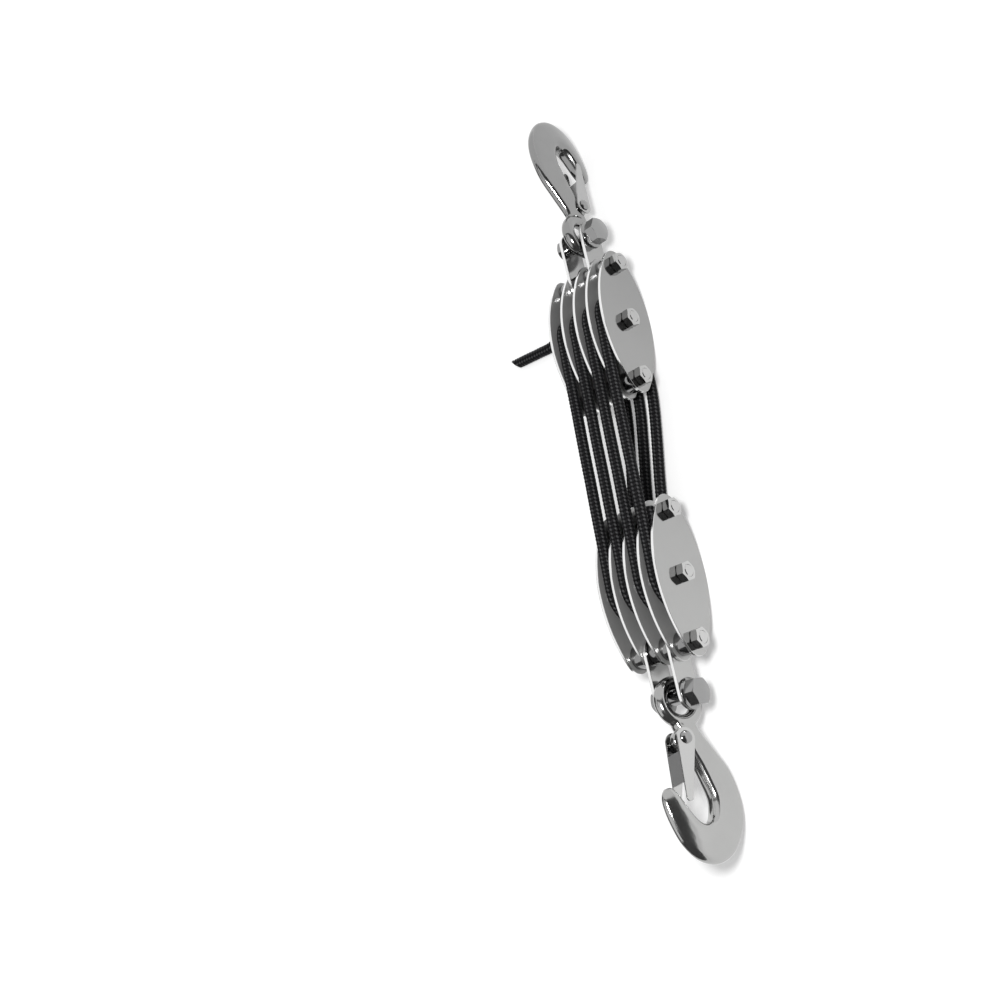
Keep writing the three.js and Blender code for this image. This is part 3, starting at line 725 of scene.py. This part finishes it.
for block in BLOCKS:
    body = f"{block}_clevis"
    for side, x in (("left", strap_x), ("right", -strap_x)):
        at = clevis_frame[block] @ Matrix.Translation((x, 0, 0))
        node = f"{block}_strap_{side}"
        highlight_edged(piece(f"{node}_sheet", strap(), at, strap_finish, body, [node], SHEET_SHARP))
    at = clevis_frame[block] @ Matrix.Translation((0, STRAP_SPACING, 0))
    piece(f"{body}_screw", clevis_bolt(), at, clevis_finish, body, [f"{body}_bolt"])
    nut_start, bore = -strap_face - SEAT - CLEVIS_NUT_HEIGHT, CLEVIS_BOLT + NUT_PLAY
    nut = hexagon(CLEVIS_NUT_FLATS, nut_start, CLEVIS_NUT_HEIGHT, NUT_CHAMFER, bore, NUT_TURN)
    piece(f"{body}_hex", nut, at, clevis_finish, body, [f"{body}_nut"])

# %% [markdown]
# ## The forged hook
# A forging has no sharp inner corners: the metal flows from the eye into the shank. That is hard to
# draw and easy to grow, so the ring, the swept body and the lug are overlapped, fused by a voxel
# remesh and smoothed, and only then are the latch's flats and the pin hole cut with clean edges.

# %% Forge the hook
HOOK_HALF = 7.0
EYE_RADIUS, EYE_BAR = 15.5, 5.5
NECK_THICKNESS_SHARE, NECK_WIDTH_SHARE = 0.72, 0.68
LUG_HALF, LUG_RADIUS, RELIEF_RADIUS, PIN_HOLE = 3, 7.4, 8.8, 2.8
RELIEF_REACH, HOLE_REACH = 14, 20  # how far the cutting discs stand out of the forging
VOXEL, SMOOTHINGS = 0.62, 12
eye_centre = EYE_RADIUS - EYE_BAR - CLEVIS_BOLT - SEAT
# Shares of width and length: outer edge across and along, inner edge across and along, thickness
HOOK_STATIONS = [
    (0.188, 0.219, -0.09, 0.243, 0.92),
    (0.319, 0.332, -0.028, 0.348, 1),
    (0.458, 0.453, 0.03, 0.432, 1),
    (0.522, 0.583, 0.08, 0.52, 1),
    (0.522, 0.713, 0.125, 0.608, 1),
    (0.444, 0.834, 0.113, 0.678, 1),
    (0.278, 0.947, 0.075, 0.738, 1),
    (0.056, 1, -0.002, 0.768, 1),
    (-0.167, 0.972, -0.083, 0.757, 1),
    (-0.333, 0.879, -0.153, 0.717, 0.98),
    (-0.431, 0.753, -0.207, 0.671, 0.92),
    (-0.474, 0.645, -0.268, 0.61, 0.8),
    (-0.463, 0.588, -0.33, 0.563, 0.6),
    (-0.425, 0.556, -0.37, 0.55, 0.36),
]
# One side of the section: place from the inner edge (-1) to the outer (1), and share of the thickness
HOOK_SECTION = [
    (-1, 0.08), (-0.99, 0.3), (-0.96, 0.52), (-0.91, 0.7), (-0.84, 0.85), (-0.74, 0.96), (-0.6, 1),
    (-0.3, 0.97), (0.1, 0.86), (0.45, 0.73), (0.72, 0.61), (0.88, 0.48), (0.96, 0.32), (1, 0.16),
]


def catmull(points, t):
    """A point on the smooth curve through points, at t from 0 to 1."""
    place = t * (len(points) - 1)
    i = min(int(place), len(points) - 2)
    f = place - i
    p1, p2 = points[i], points[i + 1]
    p0 = points[i - 1] if i else 2 * p1 - p2
    p3 = points[i + 2] if i + 2 < len(points) else 2 * p2 - p1
    squared = 2 * p0 - 5 * p1 + 4 * p2 - p3
    cubed = 3 * p1 - p0 - 3 * p2 + p3
    return 0.5 * (2 * p1 + (p2 - p0) * f + squared * f**2 + cubed * f**3)


def hook_sweep():
    neck, neck_half = eye_centre + EYE_RADIUS, EYE_RADIUS * NECK_WIDTH_SHARE
    outer = [Vector((NECK_THICKNESS_SHARE, neck, neck_half))]
    inner = [Vector((NECK_THICKNESS_SHARE, neck, -neck_half))]
    for out_across, out_along, in_across, in_along, thick in HOOK_STATIONS:
        outer.append(Vector((thick, out_along * HOOK_LENGTH, out_across * HOOK_WIDTH)))
        inner.append(Vector((thick, in_along * HOOK_LENGTH, in_across * HOOK_WIDTH)))
    section = HOOK_SECTION + [(place, -thick) for place, thick in HOOK_SECTION[::-1]]
    bm = bmesh.new()
    rings = []
    steps = 120
    for k in range(steps + 1):
        a, b = catmull(inner, k / steps), catmull(outer, k / steps)
        ring = []
        for place, thick in section:
            at = a.lerp(b, (1 + place) / 2)
            ring.append(bm.verts.new((at.x * thick * HOOK_HALF, at.y, at.z)))
        rings.append(ring)
    bridge(bm, rings)
    bm.faces.new(rings[0])
    bm.faces.new(rings[-1])
    return mesh_of(bm)


def eye_ring():
    bm = bmesh.new()
    around, bar = 96, 32
    rings = []
    for k in range(around):
        a = 2 * pi * k / around
        ring = []
        for i in range(bar):
            b = 2 * pi * i / bar
            reach = EYE_RADIUS + EYE_BAR * cos(b)
            ring.append(bm.verts.new((EYE_BAR * sin(b), eye_centre + reach * cos(a), reach * sin(a))))
        rings.append(ring)
    bridge(bm, rings + rings[:1])
    return mesh_of(bm)


def disc(x0, x1, radius):
    """A disc round the latch pin's place."""
    mesh = turned([(x0, 0), (x0, radius), (x1, radius), (x1, 0)], closed=False)
    mesh.transform(Matrix.Translation((0, PIN_ALONG, PIN_ACROSS)))
    return mesh


def applied(mesh, *modifiers):
    """The mesh after modifiers, each given as its kind and its settings."""
    worked = linked("worked", mesh)
    tools = []
    for kind, settings in modifiers:
        modifier = worked.modifiers.new(kind.lower(), kind)
        for name, value in settings.items():
            if isinstance(value, bpy.types.Mesh):
                value = linked("tool", value)
                tools.append(value)
            setattr(modifier, name, value)
    result = evaluated_mesh(worked)
    for tool in tools:
        bpy.data.objects.remove(tool)
    return result


def without(mesh, *cutters):
    """The mesh with each cutter taken away from it."""
    cut = {"operation": "DIFFERENCE", "solver": "EXACT"}
    return applied(mesh, *(("BOOLEAN", {**cut, "object": cutter}) for cutter in cutters))


def forged_hook():
    blank = joined(hook_sweep(), eye_ring(), disc(-LUG_HALF, LUG_HALF, LUG_RADIUS))
    grown = applied(
        blank,
        ("REMESH", {"mode": "VOXEL", "voxel_size": VOXEL}),
        ("SMOOTH", {"factor": 0.5, "iterations": SMOOTHINGS}),
    )
    near, far = (disc(side * LUG_HALF, side * RELIEF_REACH, RELIEF_RADIUS) for side in (1, -1))
    return without(grown, near, far, disc(-HOLE_REACH, HOLE_REACH, PIN_HOLE))


for block in BLOCKS:
    forging = forged_hook()
    print(block, "hook faces", len(forging.polygons))
    piece(f"{block}_forging", forging, hook_frame[block], hook_finish, f"{block}_hook", [f"{block}_hook"])

# %% [markdown]
# ## Latch, pin and spring
# The latch is a channel bent from thin sheet: two cheeks beside the hook, joined by a web on the
# outside, riveted to the lug by a pin. The web is short enough to clear the hook when the latch opens.
# A small torsion spring round the pin pushes it shut.

# %% Bend the latch
SHEET, KNUCKLE, LATCH_TIP, LATCH_LENGTH = 1.2, 8.0, 2.8, 48.6
WEB_START, WEB_LENGTH = 11.0, 23.0
LATCH_PLAY, LATCH_EASE, WEB_EASE, WEB_INSET, WEB_LAP = 0.4, 0.2, 0.25, 0.1, 0.02
PIN_RADIUS, RIVET_STEPS = 2.5, [(0, 4.8), (0.5, 4.9), (1.2, 4.2), (1.8, 2.4), (2.0, 0)]
latch_outside = HOOK_HALF + LATCH_PLAY + SHEET
taper = asin((KNUCKLE - LATCH_TIP) / (LATCH_LENGTH - LATCH_TIP))


def latch():
    square, reach = pi / 2, LATCH_LENGTH - LATCH_TIP
    outline = [
        *arc(0, 0, KNUCKLE, square - taper, 3 * square + taper, 28),
        (KNUCKLE * sin(taper), -KNUCKLE * cos(taper)),
        *arc(reach, 0, LATCH_TIP, taper - square, square - taper, 20),
        (reach + LATCH_TIP * sin(taper), LATCH_TIP * cos(taper)),
    ]
    cheeks = []
    for side in (1, -1):
        cheek = cut_sheet(outline, [circle(0, 0, PIN_HOLE, 32)], SHEET, LATCH_EASE)
        cheek.transform(Matrix.Translation((side * (latch_outside - SHEET / 2), 0, 0)))
        cheeks.append(cheek)
    edge = Vector((KNUCKLE * sin(taper), -KNUCKLE * cos(taper)))
    run, inward = Vector((cos(taper), sin(taper))), Vector((-sin(taper), cos(taper)))
    web_end = WEB_START + WEB_LENGTH
    places = ((WEB_START, WEB_LAP), (web_end, WEB_LAP), (web_end, SHEET), (WEB_START, SHEET))
    corners = [tuple(edge + run * far + inward * deep) for far, deep in places]
    return joined(*cheeks), cut_sheet(corners, [], 2 * latch_outside - WEB_INSET, WEB_EASE)


def latch_pin():
    face = latch_outside + SEAT
    half = [(face, PIN_RADIUS)] + [(face + height, radius) for height, radius in RIVET_STEPS]
    return turned([(-x, r) for x, r in half[::-1]] + half, closed=False)


def swept_wire(points, radius):
    """A round wire through points, by way of a curve with a bevel."""
    curve = bpy.data.curves.new("wire", "CURVE")
    curve.dimensions, curve.use_fill_caps = "3D", True
    curve.bevel_depth, curve.bevel_resolution = radius, 2
    add_line(curve, points)
    return evaluated_mesh(linked("wire", curve))


SPRING_WIRE, SPRING_TURNS, SPRING_PITCH, SPRING_PLAY = 0.8, 2, 1.25, 0.7
WEB_LEG, BODY_LEG_ANGLE = 14, radians(62)


def latch_spring():
    wire, pitch = SPRING_WIRE, SPRING_PITCH
    coil = PIN_RADIUS + SPRING_PLAY + wire / 2
    start = LUG_HALF + SEAT + wire / 2
    lean = asin((KNUCKLE - SHEET - SEAT - wire / 2 - coil) / WEB_LEG)
    first = -pi / 2 - lean + taper
    last = BODY_LEG_ANGLE + pi / 2
    turns = SPRING_TURNS + (last - first) / (2 * pi) - 1
    body_leg = sqrt((RELIEF_RADIUS - SEAT - wire / 2) ** 2 - coil**2)
    steps = 64
    points = []
    for k in range(steps + 1):
        angle = first - turns * 2 * pi * k / steps
        x = start + pitch * turns * (1 - k / steps)
        points.append(Vector((x, coil * cos(angle), coil * sin(angle))))

    def heading(angle):
        return Vector((0, sin(angle), -cos(angle)))

    web_end = points[0] - heading(first) * WEB_LEG
    body_end = points[-1] + heading(first - turns * 2 * pi) * body_leg
    return swept_wire([web_end, *points, body_end], wire / 2)


for block in BLOCKS:
    at, hook, node = latch_frame[block], f"{block}_hook", f"{block}_latch"
    cheeks, web = latch()
    piece(f"{node}_cheeks", cheeks, at, latch_finish, node, [node], SHEET_SHARP)
    piece(f"{node}_web", web, at, web_finish, node, [node], SHEET_SHARP)
    piece(f"{block}_rivet", latch_pin(), at, clevis_finish, hook, [f"{node}_pin"])
    piece(f"{block}_torsion_spring", latch_spring(), at, spring_finish, hook, [f"{node}_spring"])

# %% [markdown]
# ## The rope's route
# One rope runs from the dead end on its thimble up and down between the blocks and leaves as the loose
# tail. The route is the CAD's own: half turns on the sheaves, straight falls in front, and falls behind
# that cross over by one sheave. It is cut where the blocks part, so each stretch can move with its own.

# %% Lay out the route
UPPER = block_frame["upper"].translation / MM
LOWER = block_frame["lower"].translation / MM
DEAD_END_ANGLE, DEAD_END_BEND, DEAD_END_LEG, DEAD_END_GAP = radians(60), 15.0, 12.0, 0.5
LAST_WRAP, WRAP_STEP = radians(45), radians(4)
FRONT_STEPS, BACK_STEPS = 20, 40
tackle_shift = (UPPER + LOWER) / 2


def wrap(centre, x, start, end, radius=pitch_radius, z=0.0, y=0.0):
    steps = max(4, round(abs(end - start) / WRAP_STEP))
    points = []
    for k in range(steps + 1):
        a = start + (end - start) * k / steps
        height = centre.z + z + radius * cos(a)
        points.append(Vector((centre.x + x, centre.y + y + radius * sin(a), height)))
    return points


def front_fall(k):
    x, z, low, high = UPPER.x + gap_x(k), UPPER.z + pitch_radius, LOWER.y, UPPER.y
    return [Vector((x, low + (high - low) * i / FRONT_STEPS, z)) for i in range(FRONT_STEPS + 1)]


def back_fall(k):
    clear = END_BOLT - ROPE_RADIUS
    points = [Vector((UPPER.x + gap_x(k), UPPER.y, UPPER.z - pitch_radius))]
    for i in range(BACK_STEPS + 1):
        t = i / BACK_STEPS
        x = gap_x(k) + (gap_x(k - 1) - gap_x(k)) * t * t * (3 - 2 * t)
        y = UPPER.y - clear + (LOWER.y - UPPER.y + 2 * clear) * t
        points.append(Vector((UPPER.x + x, y, UPPER.z - pitch_radius)))
    points.append(Vector((UPPER.x + gap_x(k - 1), LOWER.y, UPPER.z - pitch_radius)))
    return points


def dead_end():
    leg = pitch_radius - 2 * ROPE_RADIUS - DEAD_END_GAP
    join_y, join_z = pitch_radius * sin(DEAD_END_ANGLE), -pitch_radius * cos(DEAD_END_ANGLE)
    bend_z = leg - DEAD_END_BEND * (1 - cos(DEAD_END_ANGLE))
    bend_y = join_y + (bend_z - join_z) / tan(DEAD_END_ANGLE) + DEAD_END_BEND * sin(DEAD_END_ANGLE)
    x = gap_x(3)
    start = Vector((LOWER.x + x, LOWER.y + bend_y + DEAD_END_LEG, LOWER.z + leg))
    bend = wrap(LOWER, x, 0, -DEAD_END_ANGLE, DEAD_END_BEND, leg - DEAD_END_BEND, bend_y)
    return [start, *bend, *wrap(LOWER, x, pi - DEAD_END_ANGLE, 2 * pi)]


def length_of(points):
    return sum((b - a).length for a, b in zip(points, points[1:]))


# %% [markdown]
# ## A rope that is really braided
# Twelve yarns wind one way and twelve the other, each passing over two and under two. With s along
# the rope and k the yarn's number, the angle is 2 pi (s / lay + k / 12), and a cosine of the crossings
# lifts the yarn over and under. Geometry Nodes does this for any curve: it copies the centreline once
# for each yarn, moves each copy out to its angle, and sweeps a small round section along it.


# %% Build the braid's node tree
YARN_SIDES, CORE_SIDES = 5, 8
# Painted light from one side: the crown highlight is weaker on the yarns that wind the first way.
FIRST_WAY_HIGHLIGHT_CUT = 0.6  # how much less the crowns of the yarns that wind the first way are marked
YARNS, YARN_RADIUS, LIFT, PROUD, CORE_OVERLAP = 12, 1.1, 0.27, 0.15, 0.4
BRAID = {
    "Lay": 40.0,
    "Yarn radius": YARN_RADIUS,
    "Middle radius": ROPE_RADIUS + PROUD - YARN_RADIUS - LIFT,
    "Lift": LIFT,
    "Core radius": ROPE_RADIUS - YARN_RADIUS - LIFT + CORE_OVERLAP,
    "Step": 1.25,
}


def braid_tree():
    tree = bpy.data.node_groups.new("rope braid", "GeometryNodeTree")
    sockets = {
        "Centreline": "Geometry",
        "Yarns each way": "Int",
        **dict.fromkeys((*BRAID, "Start"), "Float"),
        "Side": "Vector",
        "Material": "Material",
    }
    for name, kind in sockets.items():
        tree.interface.new_socket(name, in_out="INPUT", socket_type=f"NodeSocket{kind}")
    tree.interface.new_socket("Braid", in_out="OUTPUT", socket_type="NodeSocketGeometry")
    graph = Graph(tree)
    node = graph.node
    given = {socket.name: Value(graph, socket) for socket in tree.nodes.new("NodeGroupInput").outputs}

    def wave(kind, angle):
        return angle.maths(kind, angle)

    def vector(operation, a, b=(0, 0, 0)):
        return node("ShaderNodeVectorMath", {"operation": operation}, {0: a, 1: b})

    def scaled(a, factor):
        return node("ShaderNodeVectorMath", {"operation": "SCALE"}, {0: a, "Scale": factor})

    def swept(curve, sides, radius):
        circle_size = {"Resolution": sides, "Radius": radius}
        section = node("GeometryNodeCurvePrimitiveCircle", {"mode": "RADIUS"}, circle_size)
        inputs = {"Curve": curve, "Profile Curve": section, "Fill Caps": True}
        return node("GeometryNodeCurveToMesh", {}, inputs)

    each_way = given["Yarns each way"]
    spacing = {"Curve": given["Centreline"], "Length": given["Step"]}
    line = node("GeometryNodeResampleCurve", {"mode": "LENGTH"}, spacing)
    wanted = {"Geometry": line, "Amount": each_way * 2.0}
    copies = node("GeometryNodeDuplicateElements", {"domain": "SPLINE"}, wanted)
    index = copies.other(1)
    number = index % each_way
    first_half = index.maths("LESS_THAN", index, each_way)
    way = first_half * 2.0 - 1.0
    along = node("GeometryNodeSplineParameter", output=1) + given["Start"]
    turns = way * (along / given["Lay"])
    angle = (turns + number / each_way) * (2 * pi)
    phase = (number * 2.0 + turns * each_way * 2.0) * (pi / 2)
    lift = wave("COSINE", phase) * given["Lift"] * way
    tangent = node("GeometryNodeInputTangent")
    second = vector("NORMALIZE", vector("CROSS_PRODUCT", tangent, given["Side"]))
    first = vector("CROSS_PRODUCT", second, tangent)
    out = vector("ADD", scaled(first, wave("COSINE", angle)), scaled(second, wave("SINE", angle)))
    # The crown value masks the fibre's painted highlight, weaker one way as if lit from one side.
    crown = wave("COSINE", phase) * way * (1.0 - first_half * FIRST_WAY_HIGHLIGHT_CUT)
    marked = node(
        "GeometryNodeStoreNamedAttribute",
        {"data_type": "FLOAT", "domain": "POINT"},
        {"Geometry": copies, "Name": "crown", "Value": crown},
    )
    offset = scaled(out, given["Middle radius"] + lift)
    moved = node("GeometryNodeSetPosition", {}, {"Geometry": marked, "Offset": offset})
    join = tree.nodes.new("GeometryNodeJoinGeometry")
    yarns = swept(moved, YARN_SIDES, given["Yarn radius"])
    core = swept(line, CORE_SIDES, given["Core radius"])
    for part in (yarns, core):
        graph.feed(join.inputs[0], part)
    whole = Value(graph, join.outputs[0])
    real = node("GeometryNodeRealizeInstances", {}, {"Geometry": whole})
    coloured = node("GeometryNodeSetMaterial", {}, {"Geometry": real, "Material": given["Material"]})
    graph.feed(tree.nodes.new("NodeGroupOutput").inputs[0], coloured)
    return tree


rope_braid = braid_tree()


def braided(paths, starts, side=(1, 0, 0)):
    """A plain mesh of braided rope along each path, in the shared frame, in millimetres."""
    curve = bpy.data.curves.new("centreline", "CURVE")
    curve.dimensions = "3D"
    parts = []
    for path, start in zip(paths, starts):
        curve.splines.clear()
        add_line(curve, path)
        line = linked("centreline", curve)
        modifier = line.modifiers.new("braid", "NODES")
        modifier.node_group = rope_braid
        sizes = {**BRAID, "Yarns each way": YARNS, "Start": start, "Side": side, "Material": rope_finish}
        for socket in rope_braid.interface.items_tree:
            if socket.name in sizes:
                modifier[socket.identifier] = sizes[socket.name]
        parts.append(evaluated_mesh(line))
    return joined(*parts)


# %% [markdown]
# ## Rope on the blocks and between them
# The wraps ride with their blocks. The falls ride with the upper block, each with a mesh of its own.
# The distance along the rope is carried from one stretch to the next, so the braid runs on.

# %% Braid the held rope
stretches = [("lower", dead_end())]
for k in (3, 2, 1):
    stretches.append(("front", front_fall(k)))
    stretches.append(("upper", wrap(UPPER, gap_x(k), 0, pi)))
    stretches.append(("back", back_fall(k)))
    stretches.append(("lower", wrap(LOWER, gap_x(k - 1), pi, 2 * pi)))
stretches.append(("front", front_fall(0)))
stretches.append(("upper", wrap(UPPER, gap_x(0), 0, LAST_WRAP)))
LEAD = 8.0
heading = Vector((0, cos(LAST_WRAP), -sin(LAST_WRAP)))
stretches[-1][1].append(stretches[-1][1][-1] + heading * LEAD)

run = 0.0
laid = {"lower": [], "upper": [], "front": [], "back": []}
for where, path in stretches:
    laid[where].append((path, run))
    run += length_of(path)
print(f"reeved rope {run / 1000:.2f} m")

in_metres = Matrix.Scale(MM, 4)
BODY_OF = {"lower": "lower_block", "upper": "upper_block", "front": "upper_block", "back": "upper_block"}
for where, parts in laid.items():
    mesh = braided([path for path, _ in parts], [start for _, start in parts])
    name = f"rope_{where}_falls" if where in ("front", "back") else f"rope_on_{where}_block"
    body = BODY_OF[where]
    rope = piece(name, mesh, in_metres, rope_finish, body, ["rope_reeving"], NEVER_SHARP)
    print(name, len(mesh.polygons), "faces")
    if where in ("front", "back"):
        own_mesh(rope)

# %% [markdown]
# ## The loose tail
# The hauling end leaves the last sheave, comes down to the floor beyond the block's outer end, passes
# under the first plate and lies out to the left, where it is cut on a slant. The braid is made a little
# too long and then cut by a plane.

# %% Lay the tail
ON_FLOOR = -25.25
TAIL_DROP = [(-22.5, 143, -1), (-22.7, 152, -10.2), (-23.6, 158.5, -17.6), (-27, 165, -23.2)]
TAIL_ALONG = [
    (-34, 169.5), (-43, 168), (-53, 159), (-63, 148.5),
    (-77, 141.6), (-94.2, 142.2), (-112, 143.8), (-130.5, 145.3),
]
tail_route = TAIL_DROP + [(x, y, ON_FLOOR) for x, y in TAIL_ALONG]
TAIL_STEPS, HEADING_STEPS = 150, 7
SLANT, CUT_BACK, CUT_MARGIN = radians(42), 4.3, 0.3
tail_start = stretches[-1][1][-1] + heading * SEAT
tail_knots = [tail_start] + [Vector(p) + tackle_shift for p in tail_route]
tail_line = [catmull(tail_knots, k / TAIL_STEPS) for k in range(TAIL_STEPS + 1)]
tail_mesh = braided([tail_line], [run], side=(0, 0, 1))
end = tail_line[-1]
onward = (end - tail_line[-1 - HEADING_STEPS]).normalized()
cut_place = end - onward * CUT_BACK
cut_normal = Matrix.Rotation(SLANT, 3, "Z") @ onward
cut = bmesh.new()
cut.from_mesh(tail_mesh)
everything = cut.verts[:] + cut.edges[:] + cut.faces[:]
bmesh.ops.bisect_plane(cut, geom=everything, plane_co=cut_place, plane_no=cut_normal, clear_outer=True)
bmesh.ops.holes_fill(cut, edges=[e for e in cut.edges if e.is_boundary])
cut.to_mesh(tail_mesh)
cut.free()
tail_line = [p for p in tail_line if (p - cut_place).dot(onward) < -CUT_MARGIN] + [cut_place]
tail = piece("hauling_tail", tail_mesh, in_metres, rope_finish, "upper_block", ["rope_tail"], NEVER_SHARP)

# %% [markdown]
# ## Floor and light
# A product like this is shot on white paper in a white room. Polished steel is a mirror, so what stands
# round it is drawn on it: dark cloth hung over the set gives the nuts and the hooks their dark facets,
# and the gaps in the cloth give the bright streaks. The cloth is seen by reflections alone. The paper
# glows a little for the camera and for reflections, so that it stays white and still takes a shadow.
# The lamp hangs by the camera, so the shadows peek out by a few millimetres, and the glow grows away
# from it as its light falls off.


# %% Lay the floor
LAMP_PLACE, LAMP_SIZE, LAMP_POWER = (0.46, -0.16, 0.85), 0.2, 7.5
PAPER_HALF, GLOW, GLOW_GAIN, GLOW_START = 6, 0.2, 0.5, 0.35


def seen_directly(graph):
    """1 for rays from the camera, mirrored or through glass, and 0 for light on matt surfaces."""
    camera_ray = total = graph.node("ShaderNodeLightPath", output="Is Camera Ray")
    for name in ("Is Glossy Ray", "Is Transmission Ray"):
        total = total.maths("MAXIMUM", total, camera_ray.other(name))
    return total


def on_stage(name, bm, material):
    made = linked(name, mesh_of(bm))
    made.data.materials.append(material)
    return made


def floor():
    bm = bmesh.new()
    bmesh.ops.create_grid(bm, x_segments=1, y_segments=1, size=PAPER_HALF)
    paper = Finish("white paper", Roughness=0.9, Base_Color=(0.75, 0.75, 0.75, 1), Emission_Strength=1.0)
    seen = seen_directly(paper)
    under_lamp = (LAMP_PLACE[0], LAMP_PLACE[1], 0)
    points = {0: paper.place(), 1: under_lamp}
    away = paper.node("ShaderNodeVectorMath", {"operation": "DISTANCE"}, points, "Value")
    gain = GLOW_GAIN * (away - GLOW_START)
    fading = gain.maths("MAXIMUM", gain, 0.0)
    paper.set(Emission_Color=paper.between(seen * (GLOW + fading), (0, 0, 0), (1, 1, 1)))
    on_stage("floor", bm, paper.material)


floor()


# %% Hang the dark cloth
CLOTH_RADIUS, CLOTH_ACROSS, CLOTH_UP = 3.0, 120, 60


def is_cloth(x, y, z):
    """Whether the cloth covers this direction, seen from the hoist. The named places are its gaps."""
    window = x < -0.35 and -0.15 < y < 0.1 and 0.5 < z < 0.85
    slot = -0.72 < x < -0.45 and y > -0.1 and z > 0.6
    skylight = x < -0.15 and -0.62 < y < -0.12 and z > 0.42
    overhead = z > 0.93 and y < 0.25
    return y < 0.36 and z > 0.03 and not (window or slot or skylight or overhead)


def cloth():
    bm = bmesh.new()

    def direction(i, k):
        around, height = 2 * pi * i / CLOTH_ACROSS, pi / 2 * k / CLOTH_UP
        return Vector((cos(around) * cos(height), sin(around) * cos(height), sin(height)))

    for i in range(CLOTH_ACROSS):
        for k in range(CLOTH_UP):
            if is_cloth(*direction(i + 0.5, k + 0.5)):
                corners = ((i, k), (i + 1, k), (i + 1, k + 1), (i, k + 1))
                bm.faces.new([bm.verts.new(direction(*c) * CLOTH_RADIUS) for c in corners])
    black = Finish("black cloth", Roughness=1.0, Base_Color=(0.2, 0.2, 0.2, 1))
    hung = on_stage("cloth", bm, black.material)
    for ray in ("camera", "diffuse", "transmission", "volume_scatter", "shadow"):
        setattr(hung, f"visible_{ray}", False)
    print("cloth", len(hung.data.polygons), "faces")


cloth()


# %% Light the room
ROOM_LIGHT, ROOM_SEEN = 0.45, 1.0
NUMBER_A, NUMBER_B = 2, 3  # places of the Mix node's number sockets


def world():
    room = bpy.data.worlds.new("room")
    room.use_nodes = True
    bpy.context.scene.world = room
    graph = Graph(room.node_tree)
    inputs = {"Factor": seen_directly(graph), NUMBER_A: ROOM_LIGHT, NUMBER_B: ROOM_SEEN}
    light = graph.node("ShaderNodeMix", {}, inputs)
    graph.feed(graph.tree.nodes["Background"].inputs["Color"], light)


def lamp():
    data = bpy.data.lights.new("key", "AREA")
    data.shape, data.size, data.energy = "DISK", LAMP_SIZE, LAMP_POWER
    made = linked("key", data)
    made.location = LAMP_PLACE
    made.rotation_euler = (-Vector(LAMP_PLACE)).to_track_quat("-Z", "Y").to_euler()


world()
lamp()
bpy.context.scene.view_settings.view_transform = "Standard"
